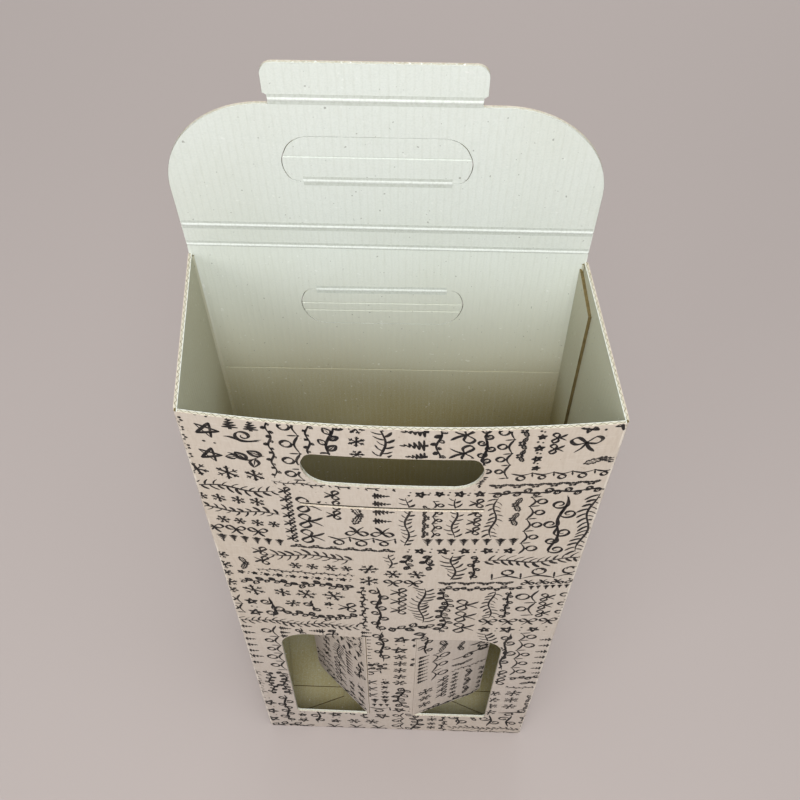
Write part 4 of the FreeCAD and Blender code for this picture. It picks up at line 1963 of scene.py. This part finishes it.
@dataclass
class Nicks:
    """Torn and pressed paper: the tufts on the tab's end and the lip under the slit."""

    palette: Palette
    seed: int = SEED
    lip: float = 0.9
    lip_rise: float = 0.20
    lip_inset: float = 0.6
    lip_edge: float = 0.02
    lip_steps: tuple[int, int] = (82, 6)
    board_edge: float = 0.15
    look_from: float = 12.0
    look_reach: float = 16.0
    tuft_sizes: Point = (0.24, 0.55)
    tuft_gaps: Point = (2.6, 6.5)

    def tuft(self, maker: MeshMaker, frame: Frame, x: float, up: float, size: float,
             rng: np.random.Generator) -> None:
        """One little torn tuft of paper on an edge.

        Args:
            maker: The mesh that takes it.
            frame: The board's frame.
            x: Its place across.
            up: Height of the edge.
            size: Its size.
            rng: The seeded generator.
        """
        rings = []
        for k in range(5):
            share = k / 4
            spread = size * (1.0 - 0.85 * share ** 1.5)
            row = []
            for m in range(8):
                a = 2 * math.pi * m / 8
                jag = 1 + 0.28 * float(rng.uniform(-1, 1))
                ragged = 0.1 * float(rng.uniform(-1, 1))
                row.append(frame.at(x + spread * 1.2 * math.cos(a) * jag + size * 0.25 * share,
                                    up - 0.15 + size * 1.25 * share + ragged,
                                    spread * 0.55 * math.sin(a) * jag))
            rings.append(row + row[:1])
        maker.add(rings)
        maker.cap(rings[-1][:-1])

    def slit_lip(self, surfaces: Surfaces) -> None:
        """The bare pressed lip under the slit.

        Args:
            surfaces: The CAD nodes' faces.
        """
        s = SIZES
        frame = front_frame().moved(s.cut_shift, s.slit_level - s.slit_height / 2)
        maker = MeshMaker()
        rows = []
        steps, folds = self.lip_steps
        for i in range(steps + 1):
            x = (i / steps - 0.5) * (s.slit_width - self.lip_inset)
            row = []
            for k in range(folds + 1):
                up = -self.lip_edge - self.lip * k / folds
                below = min(up, -self.board_edge)
                start = frame.at(x, below, self.look_from)
                hit = surfaces.drop(("box_body",), start, -frame.out, self.look_reach)
                if hit is not None:
                    rise = 0.01 + self.lip_rise * math.sin(math.pi * k / folds)
                    row.append(hit[1] + frame.up * (up - below) + frame.out * rise)
            if len(row) == folds + 1:
                rows.append(row)
        maker.add(rows)
        piece = maker.build("slit_lip", [self.palette.kraft_paper])
        set_on(piece, "box")

    def tab(self) -> None:
        """The tufts along the tab's end."""
        rng = np.random.default_rng(self.seed)
        s = SIZES
        frame = lid_frame().moved(s.cut_shift, s.tab_crease)
        maker = MeshMaker()
        x = -s.slit_width / 2 + 6
        while x < s.slit_width / 2 - 4:
            self.tuft(maker, frame, x, s.tab_length, float(rng.uniform(*self.tuft_sizes)), rng)
            x += float(rng.uniform(*self.tuft_gaps))
        piece = maker.build("tab_torn_nicks", [self.palette.pale_paper])
        set_on(piece, "tab")


# ---------------------------------------------------------------------------
# Board nodes
# ---------------------------------------------------------------------------


@dataclass
class BoardDresser:
    """Gives every CAD node its board material."""

    palette: Palette

    def dress(self, nodes: dict[str, bpy.types.Object]) -> None:
        """Assigns the materials.

        Args:
            nodes: The CAD nodes by name.
        """
        lid = lid_frame()
        panels = {
            "lid_ridge": lid, "lid_panel": lid, "tuck_tab": lid, "lid_handle_flap": lid,
            "back_handle_flap": back_frame(),
            "front_handle_flap": front_flap_frame().moved(0, 0, SIZES.half_board),
            "divider_flap_left": divider_frame(-1), "divider_flap_right": divider_frame(1),
        }
        for name, node in nodes.items():
            rule = Wall.FLAT if name in panels else Wall.TUBE
            material = self.palette.board.make(f"board_{name}", rule, panels.get(name))
            node.data.materials.clear()
            node.data.materials.append(material)
            for polygon in node.data.polygons:
                polygon.material_index = 0
            LOG.info("%s: %s", name, material.name)


# ---------------------------------------------------------------------------
# Studio
# ---------------------------------------------------------------------------


@dataclass(frozen=True)
class Lamp:
    """A round soft lamp: places and size in millimetres, power in watts."""

    name: str
    place: tuple[float, float, float]
    target: tuple[float, float, float]
    size: float
    power: float


@dataclass(frozen=True)
class Studio:
    """The floor, the lights and the camera."""

    floor_color: Color = (179, 169, 165)
    floor_cloud: Color = (176, 166, 162)
    floor_half: float = 9000.0
    lamps: tuple[Lamp, ...] = (
        Lamp("key_lamp", (40, -560, 1010), (-5, 0, 380), 420, 4.4),
        Lamp("fill_lamp", (-900, -1100, 900), (0, 0, 150), 900, 4.5),
        Lamp("back_lamp", (150, 2300, 1100), (0, 0, 200), 1200, 9.0),
    )
    sun_strength: float = 1.12
    sun_angle: float = 50.0
    sun_place: tuple[float, float, float] = (300, -700, 2000)
    sky_color: tuple[float, float, float, float] = (0.97, 0.985, 1.0, 1.0)
    sky_strength: float = 0.46
    frame_pixels: float = 800.0
    focal_pixels: float = 934.07
    sensor: float = 36.0
    camera_place: tuple[float, float, float] = (12.18, -259.72, 682.5)
    camera_right: tuple[float, float, float] = (0.99943, 0.03356, -0.00199)
    camera_down: tuple[float, float, float] = (0.02563, -0.79909, -0.60067)
    camera_ahead: tuple[float, float, float] = (-0.02175, 0.60028, -0.7995)

    def floor(self) -> None:
        """A plain floor, wide enough to run out of sight."""
        maker = MeshMaker()
        size = self.floor_half
        maker.add([[Vector((-size, y, 0)), Vector((size, y, 0))] for y in (-size, size)])
        g = Graph("studio_floor")
        cloud = g.noise((1.5, 1.5, 1.5), 2.0, 0.4)
        color = g.blend(g.times(cloud, 0.04), linear(self.floor_color), linear(self.floor_cloud))
        piece = maker.build("studio_floor", [g.finish(color, 0.95, specular=0.1)])

    def lights(self) -> None:
        """Soft lamps above, in front and behind, and an even sky."""
        for spot in self.lamps:
            lamp = bpy.data.lights.new(spot.name, "AREA")
            lamp.shape = "DISK"
            lamp.size = spot.size * MM
            lamp.energy = spot.power
            self.aim(spot.name, lamp, spot.place, spot.target)
        sun = bpy.data.lights.new("even_lamp", "SUN")
        sun.energy = self.sun_strength
        sun.angle = math.radians(self.sun_angle)
        self.aim("even_lamp", sun, self.sun_place, (0, 0, 0))
        world = bpy.data.worlds.new("studio_world")
        world.use_nodes = True
        tree = world.node_tree
        background = tree.nodes["Background"]
        background.inputs["Color"].default_value = self.sky_color
        background.inputs["Strength"].default_value = self.sky_strength
        backdrop = tree.nodes.new("ShaderNodeBackground")
        backdrop.inputs["Color"].default_value = linear(self.floor_color)
        seen = tree.nodes.new("ShaderNodeLightPath")
        mix = tree.nodes.new("ShaderNodeMixShader")
        tree.links.new(seen.outputs["Is Camera Ray"], mix.inputs[0])
        tree.links.new(background.outputs[0], mix.inputs[1])
        tree.links.new(backdrop.outputs[0], mix.inputs[2])
        tree.links.new(mix.outputs[0], tree.nodes["World Output"].inputs[0])
        bpy.context.scene.world = world

    def aim(self, name: str, lamp: bpy.types.Light, place: Sequence[float],
            target: Sequence[float]) -> None:
        """Puts a lamp in the scene, pointing at a target.

        Args:
            name: Its name.
            lamp: The lamp.
            place: Where it is, in millimetres.
            target: What it points at, in millimetres.
        """
        holder = bpy.data.objects.new(name, lamp)
        holder.location = Vector(place) * MM
        way = Vector(target) - Vector(place)
        holder.rotation_euler = way.to_track_quat("-Z", "Y").to_euler()
        bpy.context.scene.collection.objects.link(holder)

    def camera(self) -> None:
        """The camera at the photo's viewing angle."""
        data = bpy.data.cameras.new("photo_camera")
        data.sensor_width = self.sensor
        data.lens = self.focal_pixels / self.frame_pixels * self.sensor
        data.clip_start = 0.01
        holder = bpy.data.objects.new("photo_camera", data)
        matrix = holder.matrix_world.copy()
        rows = zip(self.camera_right, self.camera_down, self.camera_ahead, self.camera_place)
        for i, (right, down, ahead, place) in enumerate(rows):
            matrix[i] = (right, -down, -ahead, place * MM)
        holder.matrix_world = matrix
        bpy.context.scene.collection.objects.link(holder)
        bpy.context.scene.camera = holder


def main() -> None:
    """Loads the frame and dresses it."""
    logging.basicConfig(level=logging.INFO, format="%(name)s: %(message)s")
    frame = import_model()
    bpy.context.scene.view_settings.view_transform = "Standard"
    studio = Studio()
    studio.camera()
    palette = Palette()
    BoardDresser(palette).dress(frame["nodes"])
    surfaces = Surfaces(frame["nodes"])
    riders = frame["record"]["behaviour"]["bodies"]
    bodies = {node: body for body, nodes in riders.items() for node in nodes}
    printer = Printer(surfaces, bodies, palette.ink)
    for i, area in enumerate(print_fields()):
        printer.lay(area, SEED + 31 * i)
    edges = CutEdges(palette)
    edges.mouth()
    edges.holes(surfaces)
    edges.flaps()
    creases = Creases(palette)
    creases.lid()
    creases.hand_flaps()
    creases.corners()
    nicks = Nicks(palette)
    nicks.tab()
    nicks.slit_lip(surfaces)
    studio.floor()
    studio.lights()


if __name__ == "__main__":
    main()
